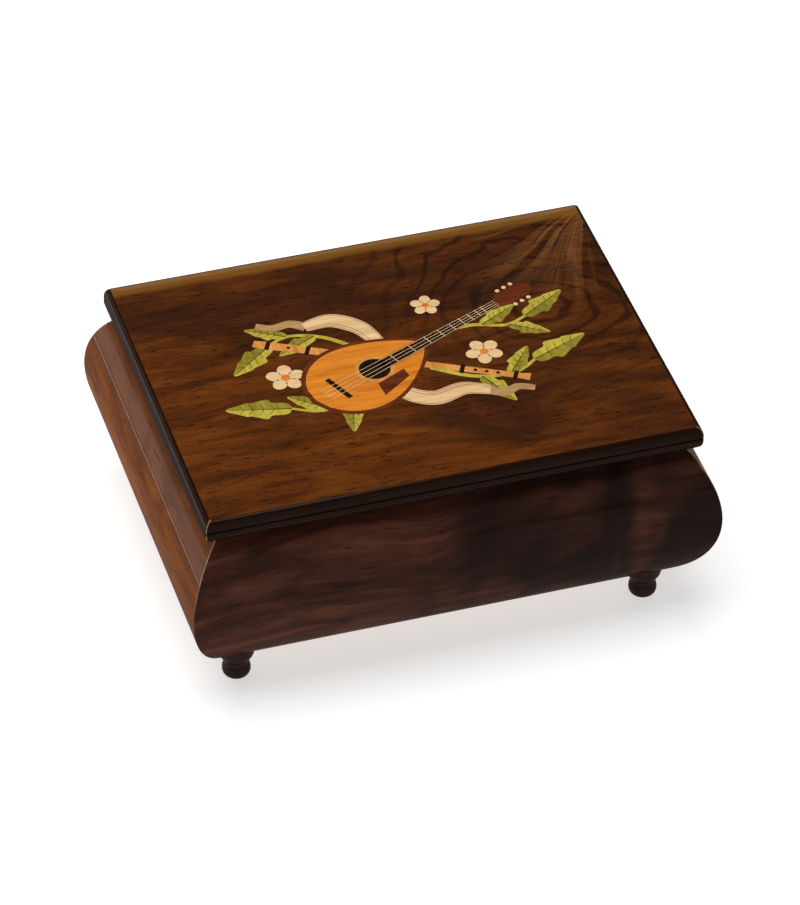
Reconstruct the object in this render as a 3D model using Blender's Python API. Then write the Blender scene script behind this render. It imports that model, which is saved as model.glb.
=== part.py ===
"""Cylinder music box: a bellied walnut case on turned feet, with a hinged lid, a felt-lined compartment
and a wind-up comb-and-cylinder movement in a bay under a clear pane.

+X runs along the front, +Y to the hinged back and +Z up. The origin is on the table,
under the middle of the case.
"""

import math

import bmesh
import bpy
from mathutils import Matrix, Vector

MM = 0.001

# Clearances
SEAT_GAP = 0.3 * MM  # between a piece and what it rests on or is glued to
RUN_GAP = 0.3 * MM  # round a shaft in its bearing
MITRE_GAP = 0.05 * MM  # each wall end stops this far short of the corner's diagonal

# Lid
LID_LENGTH = 164.0 * MM
LID_WIDTH = 124.0 * MM
LID_THICKNESS = 8.2 * MM
LID_EDGE_INSET = 2.0 * MM  # how far the flat top stops short of the nose
LID_BEVEL_HEIGHT = 3.7 * MM
LID_QUIRK_HEIGHT = 0.7 * MM
LID_QUIRK_DEPTH = 0.45 * MM
LID_LINING_THICKNESS = 1.5 * MM
LID_LINING_MARGIN = 3.0 * MM

# Case walls, whose outside is one arc from rim to base
WALL_HEIGHT = 54.5 * MM
BELLY_BULGE = 5.7 * MM  # how far the belly stands out past the lid's nose
BELLY_RADIUS = 36.0 * MM
BELLY_HEIGHT = 27.5 * MM  # above the walls' lower edge
BELLY_STEPS = 14
RIM_THICKNESS = 7.0 * MM

# Base board, let into a rabbet from below
BASE_THICKNESS = 4.0 * MM
RABBET_WIDTH = 3.3 * MM

# Turned feet
FOOT_HEIGHT = 13.0 * MM
FOOT_RADIUS = 6.0 * MM
FOOT_NECK_RADIUS = 3.85 * MM
FOOT_BUN_RADIUS = 4.65 * MM
FOOT_BUN_HEIGHT = 4.8 * MM
FOOT_RING_HEIGHT = 4.0 * MM
FOOT_INSET = 6.0 * MM  # from the case's lower edge to the foot's axis
FOOT_TENON_RADIUS = 1.5 * MM
FOOT_TENON_LENGTH = 2.8 * MM
FOOT_SIDES = 16

# Hinges
HINGE_WIDTH = 26.0 * MM
HINGE_SPACING = 92.0 * MM  # between the middles of the two hinges
HINGE_NOSE_INSET = 2.0 * MM  # from the lid's back nose to the pin
LEAF_THICKNESS = 1.2 * MM
LEAF_RIM_MARGIN = 1.0 * MM  # left between the leaf and the inside of the wall
KNUCKLE_RADIUS = 1.5 * MM
HINGE_PIN_RADIUS = 0.6 * MM

# Inside of the case
BAY_MARGIN = 3.9 * MM  # from the movement's right end to the partition
PARTITION_THICKNESS = 4.0 * MM
PARTITION_HEIGHT = 42.0 * MM
LINING_THICKNESS = 1.5 * MM
PANE_THICKNESS = 2.5 * MM
PANE_DROP = 10.0 * MM  # from the rim to the top of the pane
LEDGE_WIDTH = 4.0 * MM
LEDGE_HEIGHT = 3.0 * MM

# Movement bed
BED_MARGIN = 1.5 * MM  # from the left wall
BED_THICKNESS = 3.0 * MM
BED_FRONT = 20.0 * MM  # from the case's middle towards the front
BED_BACK_MARGIN = 6.0 * MM  # past the worm's axis
BED_CORNER = 3.0 * MM
COMB_SEAT_DEPTH = 10.0 * MM

# Gears: pitch radius is half of module times teeth
CROWN_MODULE = 0.7 * MM
CROWN_TEETH = 32
PINION_TEETH = 12
TRAIN_MODULE = 0.4 * MM
WHEEL_TEETH = 40
LAY_TEETH = 10
WORM_MODULE = 0.5 * MM
WORM_WHEEL_TEETH = 24
WORM_STARTS = 4
WORM_RADIUS = 2.0 * MM  # at the pitch line
ADDENDUM = 0.75  # in modules
DEDENDUM = 1.15
TOOTH_SHARE = 0.40  # of the pitch, at the pitch line
TIP_SHARE = 0.20
ROOT_SHARE = 0.56

# Spring barrel and winding arbor
BARREL_RADIUS = 12.6 * MM
BARREL_HEIGHT = 7.5 * MM
BARREL_WALL = 1.0 * MM
CROWN_FACE = 2.0 * MM
CROWN_BASE = 1.2 * MM
ARBOR_RADIUS = 2.0 * MM
ARBOR_PIVOT_RADIUS = 1.4 * MM
SPRING_STRIP = 0.4 * MM
SPRING_TURNS = 5
RATCHET_RADIUS = 5.0 * MM
RATCHET_THICKNESS = 1.2 * MM
RATCHET_TEETH = 18
CLICK_WIDTH = 2.4 * MM

# Winding key, under the base
KEY_SPAN = 24.0 * MM
KEY_BOW_HEIGHT = 7.0 * MM
KEY_THICKNESS = 2.0 * MM
KEY_STEM_RADIUS = 2.8 * MM
KEY_FLOOR_GAP = 2.5 * MM

# Pinned cylinder and comb
CYLINDER_BACK = 8.0 * MM  # from the case's middle to the cylinder's axis
CYLINDER_RADIUS = 6.5 * MM
CYLINDER_LENGTH = 21.0 * MM
CYLINDER_SIDES = 36
CYLINDER_SHAFT_RADIUS = 1.0 * MM
PIN_SIZE = 0.45 * MM
PIN_HEIGHT = 0.6 * MM
PINS_PER_NOTE = 4
NOTES = 18
COMB_THICKNESS = 0.9 * MM
COMB_SLOT = 0.35 * MM
COMB_TIP_GAP = 0.35 * MM
COMB_LONG_TOOTH = 11.0 * MM
COMB_SHORT_TOOTH = 7.5 * MM
GEAR_GAP = 0.5 * MM  # along the shafts, between wheels, cylinder and bearings
PINION_WIDTH = 2.2 * MM
WHEEL_WIDTH = 1.5 * MM
WORM_WHEEL_WIDTH = 2.2 * MM
WORM_LENGTH = 9.0 * MM
TRAIN_ARBOR_RADIUS = 0.8 * MM
BEARING_THICKNESS = 1.8 * MM
BRIDGE_WIDTH = 10.0 * MM
BRIDGE_THICKNESS = 1.4 * MM
BRIDGE_POST = 2.4 * MM
FAN_RADIUS = 6.0 * MM
FAN_HEIGHT = 3.6 * MM
FAN_BLADE = 0.6 * MM

# Stop rod that the closed lid holds down on the fan
STOP_ROD_RADIUS = 0.9 * MM
STOP_HEAD_RADIUS = 2.6 * MM
STOP_HEAD_HEIGHT = 2.2 * MM
STOP_COLLAR_RADIUS = 1.7 * MM
STOP_COLLAR_HEIGHT = 0.8 * MM
STOP_TRAVEL = 3.0 * MM
GUIDE_RADIUS = 2.2 * MM
GUIDE_FLANGE_RADIUS = 3.4 * MM
GUIDE_FLANGE_HEIGHT = 1.0 * MM
STOP_SPRING_WIRE = 0.4 * MM  # diameter
STOP_SPRING_TURNS = 4
STOP_SPRING_RADIUS = 1.75 * MM
CURL_POINTS = 10

# Screws
SCREW_RADIUS = 1.2 * MM
SCREW_HEAD_RADIUS = 2.2 * MM
SCREW_HEAD_HEIGHT = 1.3 * MM
SCREW_SLOT = 0.5 * MM
ROUND_SIDES = 20
SMALL_SIDES = 12

# Heights above the table
BASE_BOTTOM = FOOT_HEIGHT
BASE_TOP = BASE_BOTTOM + BASE_THICKNESS
RIM_TOP = FOOT_HEIGHT + WALL_HEIGHT
LID_BOTTOM = RIM_TOP + SEAT_GAP
LID_TOP = LID_BOTTOM + LID_THICKNESS
LID_LINING_BOTTOM = LID_BOTTOM - SEAT_GAP - LID_LINING_THICKNESS
PANE_TOP = RIM_TOP - PANE_DROP
PANE_BOTTOM = PANE_TOP - PANE_THICKNESS
BED_BOTTOM = BASE_TOP + SEAT_GAP
BED_TOP = BED_BOTTOM + BED_THICKNESS
RATCHET_BOTTOM = BED_TOP + 2 * SEAT_GAP
BARREL_BOTTOM = RATCHET_BOTTOM + RATCHET_THICKNESS + 2 * SEAT_GAP
BARREL_TOP = BARREL_BOTTOM + BARREL_HEIGHT
CROWN_BOTTOM = BARREL_TOP + SEAT_GAP
CROWN_PITCH = CROWN_BOTTOM + CROWN_BASE + DEDENDUM * CROWN_MODULE
CROWN_TIP = CROWN_PITCH + ADDENDUM * CROWN_MODULE


def belly_drop(height):
    """How far the wall's outside falls back from the belly at a height above the walls' lower edge."""
    rise = height - BELLY_HEIGHT
    return BELLY_RADIUS - math.sqrt(BELLY_RADIUS**2 - rise**2)


def pitch_radius(module, teeth):
    return module * teeth / 2


# Half sizes of the case, along X and then Y
BELLY = Vector((LID_LENGTH / 2 + BELLY_BULGE, LID_WIDTH / 2 + BELLY_BULGE))
RIM_DROP = belly_drop(WALL_HEIGHT)
FOOT_DROP = belly_drop(0.0)
INNER = Vector((BELLY.x - RIM_DROP - RIM_THICKNESS, BELLY.y - RIM_DROP - RIM_THICKNESS))
BASE_EDGE = Vector((BELLY.x - FOOT_DROP, BELLY.y - FOOT_DROP))

# Places of the movement's axes
CROWN_RADIUS = pitch_radius(CROWN_MODULE, CROWN_TEETH)
PINION_RADIUS = pitch_radius(CROWN_MODULE, PINION_TEETH)
WHEEL_RADIUS = pitch_radius(TRAIN_MODULE, WHEEL_TEETH)
LAY_RADIUS = pitch_radius(TRAIN_MODULE, LAY_TEETH)
WORM_WHEEL_RADIUS = pitch_radius(WORM_MODULE, WORM_WHEEL_TEETH)
BAY_LEFT = -INNER.x
BED_LEFT = BAY_LEFT + BED_MARGIN
BARREL_X = BED_LEFT + BRIDGE_POST + 2 * GEAR_GAP + BARREL_RADIUS
AXIS_Y = CYLINDER_BACK
AXIS_Z = CROWN_PITCH + PINION_RADIUS
PINION_LEFT = BARREL_X + CROWN_RADIUS - PINION_WIDTH / 2
CYLINDER_LEFT = PINION_LEFT + PINION_WIDTH + GEAR_GAP
CYLINDER_RIGHT = CYLINDER_LEFT + CYLINDER_LENGTH
WHEEL_LEFT = CYLINDER_RIGHT + GEAR_GAP
WORM_WHEEL_LEFT = WHEEL_LEFT + WHEEL_WIDTH + GEAR_GAP
WORM_X = WORM_WHEEL_LEFT + WORM_WHEEL_WIDTH / 2
WORM_TIP_RADIUS = WORM_RADIUS + ADDENDUM * WORM_MODULE
BRACKET_LEFT = WORM_X + max(WORM_WHEEL_WIDTH / 2, WORM_TIP_RADIUS) + GEAR_GAP
BRACKET_RIGHT = BRACKET_LEFT + BEARING_THICKNESS
LUG_RIGHT = PINION_LEFT - GEAR_GAP
LUG_LEFT = LUG_RIGHT - BEARING_THICKNESS
LAY_Y = AXIS_Y + WHEEL_RADIUS + LAY_RADIUS
WORM_Y = LAY_Y + WORM_WHEEL_RADIUS + WORM_RADIUS
WORM_TOP = AXIS_Z + WORM_LENGTH / 2
ARM_BOTTOM = WORM_TOP + 2 * GEAR_GAP
ARM_TOP = ARM_BOTTOM + BRIDGE_THICKNESS
FAN_BOTTOM = ARM_TOP + GEAR_GAP
WORM_SHAFT_TOP = FAN_BOTTOM + FAN_HEIGHT + GEAR_GAP
BED_RIGHT = BRACKET_RIGHT + BED_CORNER
BED_BACK = WORM_Y + BED_BACK_MARGIN
PARTITION_LEFT = max(BED_RIGHT, WORM_X + FAN_RADIUS) + BAY_MARGIN
PARTITION_RIGHT = PARTITION_LEFT + PARTITION_THICKNESS
PIN_TIP_RADIUS = CYLINDER_RADIUS + PIN_HEIGHT
COMB_TIP_Y = AXIS_Y - PIN_TIP_RADIUS - COMB_TIP_GAP
COMB_BOTTOM = AXIS_Z - COMB_THICKNESS / 2
COMB_SEAT_TOP = COMB_BOTTOM - SEAT_GAP
COMB_SEAT_BACK = -BED_FRONT + COMB_SEAT_DEPTH
HINGE_Y = LID_WIDTH / 2 - HINGE_NOSE_INSET
HINGE_Z = (RIM_TOP + LID_BOTTOM) / 2

# Places of the stop rod, which stands over the worm
STOP_TIP = WORM_SHAFT_TOP + SEAT_GAP
STOP_HEAD_TOP = LID_LINING_BOTTOM - SEAT_GAP
STOP_HEAD_BOTTOM = STOP_HEAD_TOP - STOP_HEAD_HEIGHT
GUIDE_BOTTOM = PANE_BOTTOM - SEAT_GAP
GUIDE_FLANGE_BOTTOM = PANE_TOP + SEAT_GAP
GUIDE_TOP = GUIDE_FLANGE_BOTTOM + GUIDE_FLANGE_HEIGHT
STOP_COLLAR_TOP = GUIDE_BOTTOM - SEAT_GAP - STOP_TRAVEL

# Places of the screws
BED_SCREWS = (
    (BED_LEFT + BED_CORNER + SCREW_HEAD_RADIUS, -BED_FRONT + BED_CORNER + SCREW_HEAD_RADIUS),
    (BED_LEFT + BED_CORNER + SCREW_HEAD_RADIUS, BED_BACK - BED_CORNER - SCREW_HEAD_RADIUS),
    (CYLINDER_LEFT + CYLINDER_LENGTH / 2, BED_BACK - BED_CORNER - SCREW_HEAD_RADIUS),
)
COMB_SCREW_Y = -BED_FRONT + COMB_SEAT_DEPTH / 2 - SCREW_HEAD_RADIUS / 2
COMB_SCREWS = tuple(CYLINDER_LEFT + CYLINDER_LENGTH * share for share in (0.22, 0.78))


# Meshes


def mesh_from(bm):
    """A mesh with its faces pointing out, shaded smooth except at edges."""
    bmesh.ops.recalc_face_normals(bm, faces=bm.faces)
    mesh = bpy.data.meshes.new("shape")
    bm.to_mesh(mesh)
    bm.free()
    mesh.shade_smooth()
    mesh.set_sharp_from_angle(angle=math.radians(35))
    return mesh


def loft(rings, closed=False):
    """A solid through rings of as many points each. It is capped at both ends, or goes round if closed."""
    bm = bmesh.new()
    made = [[bm.verts.new(point) for point in ring] for ring in rings]
    pairs = list(zip(made, made[1:]))
    if closed:
        pairs.append((made[-1], made[0]))
    else:
        bm.faces.new(made[0])
        bm.faces.new(made[-1])
    for lower, upper in pairs:
        for i, corner in enumerate(lower):
            j = (i + 1) % len(lower)
            bm.faces.new((corner, lower[j], upper[j], upper[i]))
    return mesh_from(bm)


def prism(outline, bottom, top):
    """An outline in X and Y, made solid between two heights."""
    return loft([[(x, y, z) for x, y in outline] for z in (bottom, top)])


def box(low, high):
    corners = ((low[0], low[1]), (high[0], low[1]), (high[0], high[1]), (low[0], high[1]))
    return prism(corners, low[2], high[2])


def circle(radius, sides, centre=(0.0, 0.0)):
    turn = 2 * math.pi / sides
    return [
        (centre[0] + radius * math.cos(i * turn), centre[1] + radius * math.sin(i * turn))
        for i in range(sides)
    ]


def turned(profile, sides=ROUND_SIDES):
    """A solid of revolution about Z from (radius, height) pairs, lowest first, with flat ends."""
    return loft([[(x, y, height) for x, y in circle(radius, sides)] for radius, height in profile])


def turned_tube(profile, sides=ROUND_SIDES):
    """A ring about Z from a closed (radius, height) section."""
    turn = 2 * math.pi / sides
    rings = [
        [(r * math.cos(i * turn), r * math.sin(i * turn), height) for r, height in profile]
        for i in range(sides)
    ]
    return loft(rings, closed=True)


def ring_section(inner, outer, bottom, top):
    return ((inner, bottom), (outer, bottom), (outer, top), (inner, top))


def tooth_outline(module, teeth, turn=0.0):
    """A gear's outline with straight-sided teeth: two root points and two tip points for each tooth."""
    radius = pitch_radius(module, teeth)
    pitch = 2 * math.pi / teeth
    tip, root = radius + ADDENDUM * module, radius - DEDENDUM * module
    points = []
    for tooth in range(teeth):
        middle = turn + tooth * pitch
        for reach, share in ((root, -ROOT_SHARE), (tip, -TIP_SHARE), (tip, TIP_SHARE), (root, ROOT_SHARE)):
            angle = middle + share * pitch / 2
            points.append((reach * math.cos(angle), reach * math.sin(angle)))
    return points


def gear(outline, width, bore, sides=SMALL_SIDES):
    """A spur gear about Z with a round bore, from z 0 up to its width."""
    mesh = prism(outline, 0.0, width)
    return mesh, prism(circle(bore, sides), -width, 2 * width)


# Objects


def clear_scene():
    for obj in list(bpy.data.objects):
        bpy.data.objects.remove(obj)


def material(name, colour, roughness, metallic=0.0):
    made = bpy.data.materials.new(name)
    made.use_nodes = True
    shader = made.node_tree.nodes["Principled BSDF"]
    shader.inputs["Base Color"].default_value = (*colour, 1.0)
    shader.inputs["Roughness"].default_value = roughness
    shader.inputs["Metallic"].default_value = metallic
    return made


def axis_empty(name, place, rotation=(0.0, 0.0, 0.0)):
    """An empty on a joint's axis, for the pieces that turn or slide there."""
    empty = bpy.data.objects.new(name, None)
    empty.location = place
    empty.rotation_euler = rotation
    bpy.context.scene.collection.objects.link(empty)
    return empty


def piece(name, mesh, finish, parent=None, location=(0.0, 0.0, 0.0), rotation=(0.0, 0.0, 0.0)):
    obj = bpy.data.objects.new(name, mesh)
    mesh.name = name
    mesh.materials.append(finish)
    obj.location = location
    obj.rotation_euler = rotation
    obj.parent = parent
    bpy.context.scene.collection.objects.link(obj)
    return obj


def in_place(name, mesh, finish, parent):
    """A piece whose mesh is drawn in the case's frame, hung on an axis without a turn of its own."""
    mesh.transform(Matrix.Translation(-parent.location))
    return piece(name, mesh, finish, parent)


def tool(obj, mesh, operation):
    """Adds a Boolean with a hidden helper that follows the piece."""
    helper = bpy.data.objects.new(f"{obj.name}_tool", mesh)
    helper.hide_render = True
    helper.display_type = "WIRE"
    helper.parent = obj
    bpy.context.scene.collection.objects.link(helper)
    modifier = obj.modifiers.new(operation.lower(), "BOOLEAN")
    modifier.operation = operation
    modifier.solver = "EXACT"
    modifier.object = helper


def cut(obj, *meshes):
    for mesh in meshes:
        tool(obj, mesh, "DIFFERENCE")


def join(obj, *meshes):
    for mesh in meshes:
        tool(obj, mesh, "UNION")


def moved(mesh, offset):
    mesh.transform(Matrix.Translation(offset))
    return mesh


def along_x(mesh):
    """Lays a mesh that was drawn about Z along X, with its Z running to +X."""
    mesh.transform(Matrix.Rotation(math.pi / 2, 4, "Y"))
    return mesh


# Case


def wall_section(inner, belly):
    """The section of a wall: distance out from the case's middle and height."""
    points = [(inner, RIM_TOP)]
    for step in range(BELLY_STEPS + 1):
        height = WALL_HEIGHT * (1 - step / BELLY_STEPS)
        points.append((belly - belly_drop(height), FOOT_HEIGHT + height))
    rabbet_top = BASE_TOP + SEAT_GAP
    points += [(inner + RABBET_WIDTH, FOOT_HEIGHT), (inner + RABBET_WIDTH, rabbet_top), (inner, rabbet_top)]
    return points


def wall(outward, along):
    """A mitred wall: its section faces along one axis and its ends follow the corners' diagonals."""
    side = 0 if outward.x else 1
    across = BELLY[1 - side] - BELLY[side]
    rings = []
    for end in (-1, 1):
        ring = []
        for out, height in wall_section(INNER[side], BELLY[side]):
            place = outward * out + along * end * (out + across - MITRE_GAP)
            ring.append((place.x, place.y, height))
        rings.append(ring)
    return loft(rings)


def leaf_pocket(middle, bottom, top, back):
    """The space that a hinge leaf and its knuckles take from the rim or from the lid."""
    half = HINGE_WIDTH / 2 + SEAT_GAP
    front = INNER.y + LEAF_RIM_MARGIN - SEAT_GAP
    return box((middle - half, front, bottom), (middle + half, back, top))


def hinge_middles():
    return (("left", -HINGE_SPACING / 2), ("right", HINGE_SPACING / 2))


def make_walls(walnut):
    front = Vector((0, -1))
    right = Vector((1, 0))
    piece("front_wall", wall(front, right), walnut)
    rear = piece("rear_wall", wall(-front, right), walnut)
    piece("left_wall", wall(-right, front), walnut)
    piece("right_wall", wall(right, front), walnut)
    for _, middle in hinge_middles():
        cut(rear, leaf_pocket(middle, RIM_TOP - LEAF_THICKNESS - SEAT_GAP, LID_TOP, BELLY.y))


def make_base(plywood):
    half = INNER + Vector((RABBET_WIDTH - SEAT_GAP, RABBET_WIDTH - SEAT_GAP))
    base = piece("base_board", box((-half.x, -half.y, BASE_BOTTOM), (half.x, half.y, BASE_TOP)), plywood)
    through = (BASE_BOTTOM - BASE_THICKNESS, BASE_TOP + BASE_THICKNESS)
    cut(base, prism(circle(KEY_STEM_RADIUS + 2 * RUN_GAP, ROUND_SIDES, (BARREL_X, AXIS_Y)), *through))
    for place in BED_SCREWS:
        cut(base, prism(circle(SCREW_RADIUS + RUN_GAP, SMALL_SIDES, place), *through))
        sink = BASE_BOTTOM + SCREW_HEAD_HEIGHT + SEAT_GAP
        cut(base, prism(circle(SCREW_HEAD_RADIUS + RUN_GAP, SMALL_SIDES, place), through[0], sink))
    for _, x, y in foot_places():
        depth = BASE_BOTTOM + FOOT_TENON_LENGTH + SEAT_GAP
        cut(base, prism(circle(FOOT_TENON_RADIUS + SEAT_GAP, SMALL_SIDES, (x, y)), through[0], depth))


def foot_places():
    x, y = BASE_EDGE.x - FOOT_INSET, BASE_EDGE.y - FOOT_INSET
    return (
        ("front_left", -x, -y),
        ("front_right", x, -y),
        ("rear_left", -x, y),
        ("rear_right", x, y),
    )


def foot_profile():
    """A bun, a neck and a ring, with a tenon on top."""
    top = FOOT_HEIGHT - SEAT_GAP
    ring = top - FOOT_RING_HEIGHT
    neck = (FOOT_BUN_HEIGHT + ring) / 2 - (ring - FOOT_BUN_HEIGHT) / 4
    bun = []
    for step in range(5):
        angle = math.radians(-60 + 30 * step)
        bun.append(
            (FOOT_BUN_RADIUS * math.cos(angle), FOOT_BUN_HEIGHT * (0.5 + math.sin(angle) / math.sqrt(3)))
        )
    bun = [(FOOT_BUN_RADIUS * 0.72, 0.0)] + bun[1:4] + [(FOOT_NECK_RADIUS * 1.02, FOOT_BUN_HEIGHT)]
    cove = [(FOOT_NECK_RADIUS, neck), ((FOOT_NECK_RADIUS + FOOT_RADIUS) / 2, ring - (ring - neck) * 0.3)]
    rim = [(FOOT_RADIUS * 0.96, ring + FOOT_RING_HEIGHT * 0.12), (FOOT_RADIUS, ring + FOOT_RING_HEIGHT / 2)]
    tenon_top = BASE_BOTTOM + FOOT_TENON_LENGTH
    stem = [(FOOT_RADIUS, top), (FOOT_TENON_RADIUS, top), (FOOT_TENON_RADIUS, tenon_top)]
    return bun + cove + rim + stem


def make_feet(dark):
    for corner, x, y in foot_places():
        piece(f"foot_{corner}", turned(foot_profile(), FOOT_SIDES), dark, location=(x, y, 0.0))


def lid_edge():
    """The moulded edge, from the flat top down: (inset from the nose, depth under the top)."""
    bevel = []
    for step in range(5):
        angle = math.radians(90 * step / 4)
        bevel.append((LID_EDGE_INSET * (1 - math.sin(angle)), LID_BEVEL_HEIGHT * (1 - math.cos(angle))))
    quirk = LID_BEVEL_HEIGHT + LID_QUIRK_HEIGHT
    bead = LID_THICKNESS - quirk
    lower = [(LID_QUIRK_DEPTH, LID_BEVEL_HEIGHT + LID_QUIRK_HEIGHT / 2), (0.0, quirk)]
    for step in range(1, 5):
        angle = math.radians(90 * step / 4)
        lower.append(
            (LID_EDGE_INSET * (1 - math.cos(angle)), quirk + bead * (0.35 + 0.65 * math.sin(angle)))
        )
    return bevel + lower


def make_lid(walnut, felt, hinge):
    rings = []
    for inset, depth in lid_edge():
        x, y = LID_LENGTH / 2 - inset, LID_WIDTH / 2 - inset
        rings.append([(sx * x, sy * y, LID_TOP - depth) for sx, sy in ((-1, -1), (1, -1), (1, 1), (-1, 1))])
    lid = in_place("lid_board", loft(rings), walnut, hinge)
    for _, middle in hinge_middles():
        pocket_top = HINGE_Z + max(KNUCKLE_RADIUS, LEAF_THICKNESS) + SEAT_GAP
        pocket = leaf_pocket(middle, RIM_TOP - LEAF_THICKNESS, pocket_top, LID_WIDTH)
        cut(lid, moved(pocket, -hinge.location))
    half = INNER - Vector((LID_LINING_MARGIN, LID_LINING_MARGIN))
    low = (-half.x, -half.y, LID_LINING_BOTTOM)
    high = (half.x, half.y, LID_BOTTOM - SEAT_GAP)
    in_place("lid_lining", box(low, high), felt, hinge)


def knuckle(start, end, plate_z, reach):
    """A knuckle round the hinge pin with the tongue that runs into its leaf, drawn about the pin."""
    outline = []
    for step in range(9):
        angle = math.radians(-90 + 180 * step / 8) if plate_z > 0 else math.radians(90 - 180 * step / 8)
        outline.append((KNUCKLE_RADIUS * math.cos(angle), KNUCKLE_RADIUS * math.sin(angle)))
    near, far = (plate_z, plate_z + LEAF_THICKNESS) if plate_z > 0 else (plate_z, plate_z - LEAF_THICKNESS)
    turn = -1 if plate_z > 0 else 1
    outline += [(-KNUCKLE_RADIUS * 0.6, -turn * KNUCKLE_RADIUS * 0.8), (-reach, far), (-reach, near)]
    outline += [(-KNUCKLE_RADIUS * 0.98, near), (-KNUCKLE_RADIUS * 0.8, turn * KNUCKLE_RADIUS * 0.6)]
    return loft([[(x, y, z) for y, z in outline] for x in (start, end)])


def make_hinge_leaf(name, middle, brass, parent, plate_z, knuckles):
    """A leaf with its knuckles. plate_z is the height of the leaf's inner face over the pin."""
    half = HINGE_WIDTH / 2
    root = KNUCKLE_RADIUS + RUN_GAP
    front = INNER.y + LEAF_RIM_MARGIN - HINGE_Y
    outer = plate_z + math.copysign(LEAF_THICKNESS, plate_z)
    low = (middle - half, front, min(plate_z, outer))
    high = (middle + half, -root, max(plate_z, outer))
    leaf = piece(name, box(low, high), brass, parent)
    if parent is None:
        leaf.location = (0.0, HINGE_Y, HINGE_Z)
    for start, end in knuckles:
        join(leaf, knuckle(middle + start, middle + end, plate_z, 2 * root))
    bore = along_x(prism(circle(HINGE_PIN_RADIUS + RUN_GAP, SMALL_SIDES), -half - RUN_GAP, half + RUN_GAP))
    cut(leaf, moved(bore, (middle, 0.0, 0.0)))


def make_hinges(brass, steel, hinge):
    half = HINGE_WIDTH / 2
    sixth = HINGE_WIDTH / 6
    outer = ((-half, -sixth - RUN_GAP / 2), (sixth + RUN_GAP / 2, half))
    centre = ((-sixth + RUN_GAP / 2, sixth - RUN_GAP / 2),)
    for side, middle in hinge_middles():
        make_hinge_leaf(f"hinge_{side}_case_leaf", middle, brass, None, RIM_TOP - HINGE_Z, outer)
        make_hinge_leaf(f"hinge_{side}_lid_leaf", middle, brass, hinge, LID_BOTTOM - HINGE_Z, centre)
        pin = along_x(prism(circle(HINGE_PIN_RADIUS, SMALL_SIDES), -half, half))
        piece(f"hinge_{side}_pin", pin, steel, location=(middle, HINGE_Y, HINGE_Z))


def make_inside(walnut, felt, clear):
    depth = INNER.y - SEAT_GAP
    floor = BASE_TOP + SEAT_GAP
    wall_top = floor + PARTITION_HEIGHT
    piece("partition", box((PARTITION_LEFT, -depth, floor), (PARTITION_RIGHT, depth, wall_top)), walnut)
    left, right = PARTITION_RIGHT + SEAT_GAP, INNER.x - SEAT_GAP
    pad_top = floor + LINING_THICKNESS
    side_bottom = pad_top + SEAT_GAP
    piece("lining_floor", box((left, -depth, floor), (right, depth, pad_top)), felt)
    ends = (("left", left, left + LINING_THICKNESS), ("right", right - LINING_THICKNESS, right))
    for side, start, end in ends:
        piece(f"lining_{side}", box((start, -depth, side_bottom), (end, depth, wall_top)), felt)
    start, end = ends[0][2] + SEAT_GAP, ends[1][1] - SEAT_GAP
    piece("lining_front", box((start, -depth, side_bottom), (end, LINING_THICKNESS - depth, wall_top)), felt)
    piece("lining_rear", box((start, depth - LINING_THICKNESS, side_bottom), (end, depth, wall_top)), felt)
    ledge_top = PANE_BOTTOM - SEAT_GAP
    ledge_bottom = ledge_top - LEDGE_HEIGHT
    wall_side = BAY_LEFT + SEAT_GAP
    wall_ledge = box((wall_side, -depth, ledge_bottom), (wall_side + LEDGE_WIDTH, depth, ledge_top))
    piece("ledge_wall", wall_ledge, walnut)
    partition_side = PARTITION_LEFT - SEAT_GAP
    inner_ledge = box(
        (partition_side - LEDGE_WIDTH, -depth, ledge_bottom), (partition_side, depth, ledge_top)
    )
    piece("ledge_partition", inner_ledge, walnut)
    sheet = box((wall_side, -depth, PANE_BOTTOM), (partition_side, depth, PANE_TOP))
    pane = piece("cover_pane", sheet, clear)
    hole = circle(GUIDE_RADIUS + SEAT_GAP, SMALL_SIDES, (WORM_X, WORM_Y))
    cut(pane, prism(hole, PANE_BOTTOM - PANE_THICKNESS, PANE_TOP + PANE_THICKNESS))


# Movement


def make_bed(zinc):
    """The cast bed: a plate with clipped corners and the raised seat of the comb."""
    c = BED_CORNER
    outline = (
        (BED_LEFT + c, -BED_FRONT),
        (BED_RIGHT - c, -BED_FRONT),
        (BED_RIGHT, -BED_FRONT + c),
        (BED_RIGHT, BED_BACK - c),
        (BED_RIGHT - c, BED_BACK),
        (BED_LEFT + c, BED_BACK),
        (BED_LEFT, BED_BACK - c),
        (BED_LEFT, -BED_FRONT + c),
    )
    bed = piece("movement_bed", prism(outline, BED_BOTTOM, BED_TOP), zinc)
    overlap = BED_THICKNESS / 2
    seat_low = (CYLINDER_LEFT - GEAR_GAP, -BED_FRONT + overlap / 2, BED_TOP - overlap)
    seat = box(seat_low, (CYLINDER_RIGHT + GEAR_GAP, COMB_SEAT_BACK, COMB_SEAT_TOP))
    join(bed, seat)
    through = (BED_BOTTOM - BED_THICKNESS, BED_TOP + BED_THICKNESS)
    for radius, place in [
        (ARBOR_RADIUS + RUN_GAP, (BARREL_X, AXIS_Y)),
        (TRAIN_ARBOR_RADIUS + RUN_GAP, (WORM_X, WORM_Y)),
        (SCREW_RADIUS + RUN_GAP, click_pivot()),
        *[(SCREW_RADIUS + RUN_GAP, place) for place in BED_SCREWS],
    ]:
        cut(bed, prism(circle(radius, SMALL_SIDES, place), *through))
    screw_depth = COMB_SEAT_TOP - screw_reach()
    for x in COMB_SCREWS:
        hole = circle(SCREW_RADIUS + RUN_GAP, SMALL_SIDES, (x, COMB_SCREW_Y))
        cut(bed, prism(hole, screw_depth, COMB_SEAT_TOP + BED_THICKNESS))


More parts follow.
